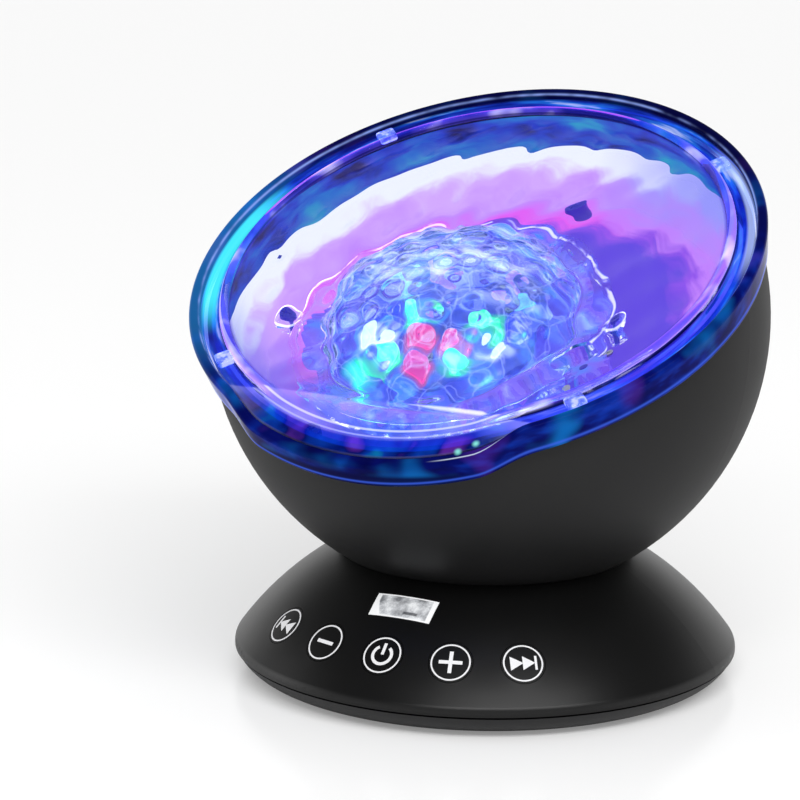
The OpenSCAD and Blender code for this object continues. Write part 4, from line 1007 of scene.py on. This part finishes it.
# Painted light: a dim blue shimmer, with the pale outline highlights on top.
shimmer = ring_finish.noise(here, 6 * MM, 3.0, 0.6)
light = ring_finish.ramp(shimmer, [(0.42, DARK), (0.60, seen(6, 44, 100)), (0.74, seen(90, 120, 190))])
light = ring_finish.mix(outline_glints * upper_face * shimmer.step(0.36, 0.5), light, seen(214, 222, 255))
ring_finish.set(emission_color=light)
coat(["retainer_ring"], ring_finish)
print("ears of the ring:", len(EAR_ANGLES))

# %% [markdown]
# ## Gear, screws and inner parts
# The gear below the ring is nylon that glows with the tray. The screws near the lights are steel lit
# violet. All other inner parts have plain finishes: a colour and a roughness that drift a little with a
# fine noise, which is enough for parts that are seen only when the lamp is open.

# %% Plain finishes


def plain(name, colour, rough, metal=0.0, grain=1.5, spread=0.12):
    """A simple finish whose roughness and colour drift with a noise of the given grain, in millimetres."""
    finish = Finish(name, metallic=metal)
    drift = finish.noise(finish.place(), grain * MM, 3.0, 0.6)
    darker = tuple(0.78 * c for c in colour)
    finish.set(base_color=finish.mix(drift, darker, colour), roughness=rough + spread * drift)
    finish.bump(drift, 0.06, 0.05 * MM)
    return finish


nylon = plain("lit_nylon", seen(60, 54, 150), 0.5)
tone = nylon.noise(nylon.place(), 8 * MM)
nylon_glow = nylon.ramp(tone, [(0.38, seen(124, 84, 222)), (0.54, seen(108, 98, 228)),
                               (0.66, seen(76, 122, 230))])
nylon.set(emission_strength=0.8, emission_color=nylon_glow)
coat(["dome_gear", "drive_pinion"], nylon)
night_steel = plain("violet_lit_steel", seen(40, 40, 130), 0.3, 0.5)
night_steel.set(emission_strength=0.7, emission_color=seen(44, 40, 168))
coat(["tray_screws", "retainer_screws", "motor_shaft"], night_steel)
coat(["led_screws", "motor_screws", "base_screws", "neck_screws",
      "carrier_screws", "board_screws"], plain("zinc_screws", seen(190, 192, 196), 0.3, 1.0))
coat(["motor_can", "usb_socket", "speaker_magnet"],
     plain("bright_steel", seen(200, 202, 206), 0.25, 1.0))
coat(["gearbox_case"], plain("stamped_brass", seen(205, 168, 96), 0.35, 1.0))
coat(["main_board", "key_carrier"], plain("green_board", seen(22, 92, 54), 0.45, 0.0, 2.0))
coat(["key_switches", "ir_receiver", "audio_jack"], plain("dark_plastic", seen(26, 26, 28), 0.4))
coat(["rubber_foot"], plain("dark_rubber", seen(30, 30, 31), 0.75, 0.0, 0.6))
coat(["speaker_frame"], plain("painted_basket", seen(40, 40, 43), 0.4, 0.3))
coat(["speaker_cone"], plain("pressed_paper", seen(28, 27, 26), 0.9, 0.0, 0.8))
coat(["wire_loom"], plain("red_lead", seen(170, 24, 26), 0.5))
print("materials so far:", len(bpy.data.materials))

# %% [markdown]
# ## Receiver window
# A small clear bar lets infrared signals in. Its cut edges and its slanted left end catch the light, drawn
# as painted highlights, and its underside looks silvery, with light and dark bands of painted reflection;
# the same colours are also given as a faint glow. The bar's own directions come from its corners
# and from the round of the foot that it lies in.

# %% Receiver window
BASE_R = 65.4 * MM
CAP_R = 80 * MM
EDGE_R = 3 * MM
RIM_Z = 7.1 * MM
CAP_Z = RIM_Z - math.sqrt((CAP_R - EDGE_R) ** 2 - (BASE_R - EDGE_R) ** 2)
bar = nodes["receiver_window"].data
corners = np.empty(3 * len(bar.vertices))
bar.vertices.foreach_get("co", corners)
corners = corners.reshape(-1, 3)
bar_at = (corners.min(0) + corners.max(0)) / 2
bar_up = unit(np.cross(unit(bar_at - [0, 0, CAP_Z]), RIGHT))
half_wide = np.abs(corners @ RIGHT).max()
half_high = np.abs((corners - bar_at) @ bar_up).max()

silver = Finish("silver_window", roughness=0.12, specular_ior_level=0.6, coat_weight=1.0,
                emission_strength=0.2)
here = silver.place()
across = silver.along(here, RIGHT / half_wide)
upward = silver.along(silver.minus(here, bar_at), bar_up / half_high)
# Painted reflection: silvery light and dark bands.
band = 0.8 * silver.noise(here, 4 * MM) + 0.2 * silver.noise(here, 0.5 * MM) - 0.06 * upward
shade = silver.ramp(band, [(0.36, seen(120, 122, 126)), (0.50, seen(188, 190, 194)),
                           (0.64, seen(240, 242, 244))])
dash = (upward + 0.5).size().step(0.16, 0.08) * across.step(0.05, 0.12) * across.step(0.58, 0.5)
shade = silver.mix(0.8 * dash, shade, seen(60, 62, 66))
# Painted highlights along the cut edges and the slanted left end.
edge_glint = (across.size() + 0.04).most(upward.size()).step(0.86, 0.92)
left_end = (across + 0.16 * upward).step(-0.78, -0.82)
shade = silver.mix(edge_glint.most(left_end), shade, seen(250, 251, 252))
silver.set(base_color=shade, emission_color=shade)
coat(["receiver_window"], silver)
print("window half sizes in mm:", round(half_wide / MM, 1), round(half_high / MM, 1))

# %% [markdown]
# ## Patches of print
# Each key carries a white ring and a sign, printed on its domed face. A sign is a set of flat patches
# in the key's own plane, which are lifted on to the sphere that the keys are part of, and given a thin
# wall so that they are closed bodies.

# %% Print patches
KEY_IN = 8.1 * MM
KEY_LEAN = math.asin((BASE_R - KEY_IN) / CAP_R)
KEY_PITCH = math.radians(17.9)
PRINT_HIGH = 0.05 * MM
PRINT_LOW = -0.05 * MM
KEY_RING_R = 4.8 * MM
KEY_RING_W = 0.4 * MM
PATCH_LINES = 7
BLUNT = 0.04


def on_key(number, a, b, lift):
    """Points on a key's face: a to the right, b up the slope, lift above the sphere."""
    turn = KEY_PITCH * (number - 2)
    level = math.sin(KEY_LEAN)
    out = np.array([math.sin(turn) * level, -math.cos(turn) * level, math.cos(KEY_LEAN)])
    right = np.array([math.cos(turn), math.sin(turn), 0.0])
    up = np.cross(out, right)
    way = CAP_R * out + a[..., None] * right + b[..., None] * up
    way = way / np.linalg.norm(way, axis=-1, keepdims=True)
    return np.array([0, 0, CAP_Z]) + way * (CAP_R + lift)


def patch_faces(rows, columns, wrap, start):
    """Faces of a thin closed slab: a top grid, a bottom grid and walls round their edges."""
    top = grid_faces(rows, columns, wrap)
    under = rows * columns
    edge = [np.arange(columns), (rows - 1) * columns + np.arange(columns)[::-1]]
    if wrap:
        edge = [np.append(edge[0], 0), np.append(edge[1], edge[1][0])]
    else:
        side = np.arange(rows) * columns
        edge += [side[::-1], side + columns - 1]
    walls = [np.stack([e[:-1], e[:-1] + under, e[1:] + under, e[1:]], -1) for e in edge]
    return start + np.concatenate([top, top[:, ::-1] + under, *walls])


def ring_patch(radius, width, start=0.0, end=360.0, count=72):
    """Flat ring or arc: angle from the top, clockwise, by distance from the middle."""
    whole = end - start >= 360
    turn = np.radians(np.linspace(start, end, count, endpoint=not whole))
    far = np.array([radius - width / 2, radius + width / 2])
    return np.sin(turn) * far[:, None], np.cos(turn) * far[:, None], whole


def bar_patch(a0, a1, b0, b1):
    """Flat bar: an even grid between two corners."""
    a, b = np.meshgrid(np.linspace(a0, a1, PATCH_LINES), np.linspace(b0, b1, PATCH_LINES))
    return a, b, False


def arrow_patch(tip, back, half):
    """Triangle from a blunt tip to its back edge."""
    t, side = np.meshgrid(np.linspace(BLUNT, 1, PATCH_LINES), np.linspace(-1, 1, PATCH_LINES))
    return tip + (back - tip) * t, half * t * side, False


print("lean of the keys in degrees:", round(math.degrees(KEY_LEAN), 1))

# %% [markdown]
# ## Signs on the keys
# The five signs are common ones: back, minus, power, plus and forward. Each is a short list of bars, arcs
# and arrows, with a ring round it. The signs ride on the keys and go in with them.

# %% Key signs
SIGN = 3.7 * MM
STROKE = 0.95 * MM


def skip_sign(way):
    """Two arrows and a bar, pointing to the right for way 1 and to the left for way -1."""
    half = 1.9 * MM
    parts = [arrow_patch(0.1 * MM, -3.2 * MM, half), arrow_patch(3.0 * MM, -0.1 * MM, half),
             bar_patch(2.9 * MM, 3.5 * MM, -half, half)]
    return [(way * a, b, wrap) for a, b, wrap in parts]


SIGNS = {
    "back": skip_sign(-1),
    "minus": [bar_patch(-SIGN * 0.72, SIGN * 0.72, -STROKE / 2, STROKE / 2)],
    "power": [ring_patch(2.5 * MM, STROKE * 0.85, 34, 326, 48),
              bar_patch(-STROKE * 0.42, STROKE * 0.42, 0.1 * MM, 3.3 * MM)],
    "plus": [bar_patch(-SIGN * 0.8, SIGN * 0.8, -STROKE / 2, STROKE / 2),
             bar_patch(-STROKE / 2, STROKE / 2, -SIGN * 0.8, -STROKE / 2),
             bar_patch(-STROKE / 2, STROKE / 2, STROKE / 2, SIGN * 0.8)],
    "forward": skip_sign(1),
}
ink = Finish("white_print", roughness=0.5, specular_ior_level=0.3)
fleck = ink.noise(ink.place(), 0.4 * MM)
ink.set(base_color=ink.mix(fleck, seen(232, 232, 234), seen(250, 250, 252)))
for number, (word, parts) in enumerate(SIGNS.items()):
    points, faces, start = [], [], 0
    for a, b, wrap in [ring_patch(KEY_RING_R, KEY_RING_W)] + parts:
        points += [on_key(number, a, b, lift).reshape(-1, 3) for lift in (PRINT_HIGH, PRINT_LOW)]
        faces += patch_faces(*a.shape, wrap, start).tolist()
        start += 2 * a.size
    sign = mesh_object(f"{word}_sign", np.concatenate(points), faces, sharp=40)
    sign.data.materials.append(ink.material)
    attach(sign, f"{word}_key")
print("signs:", list(SIGNS))
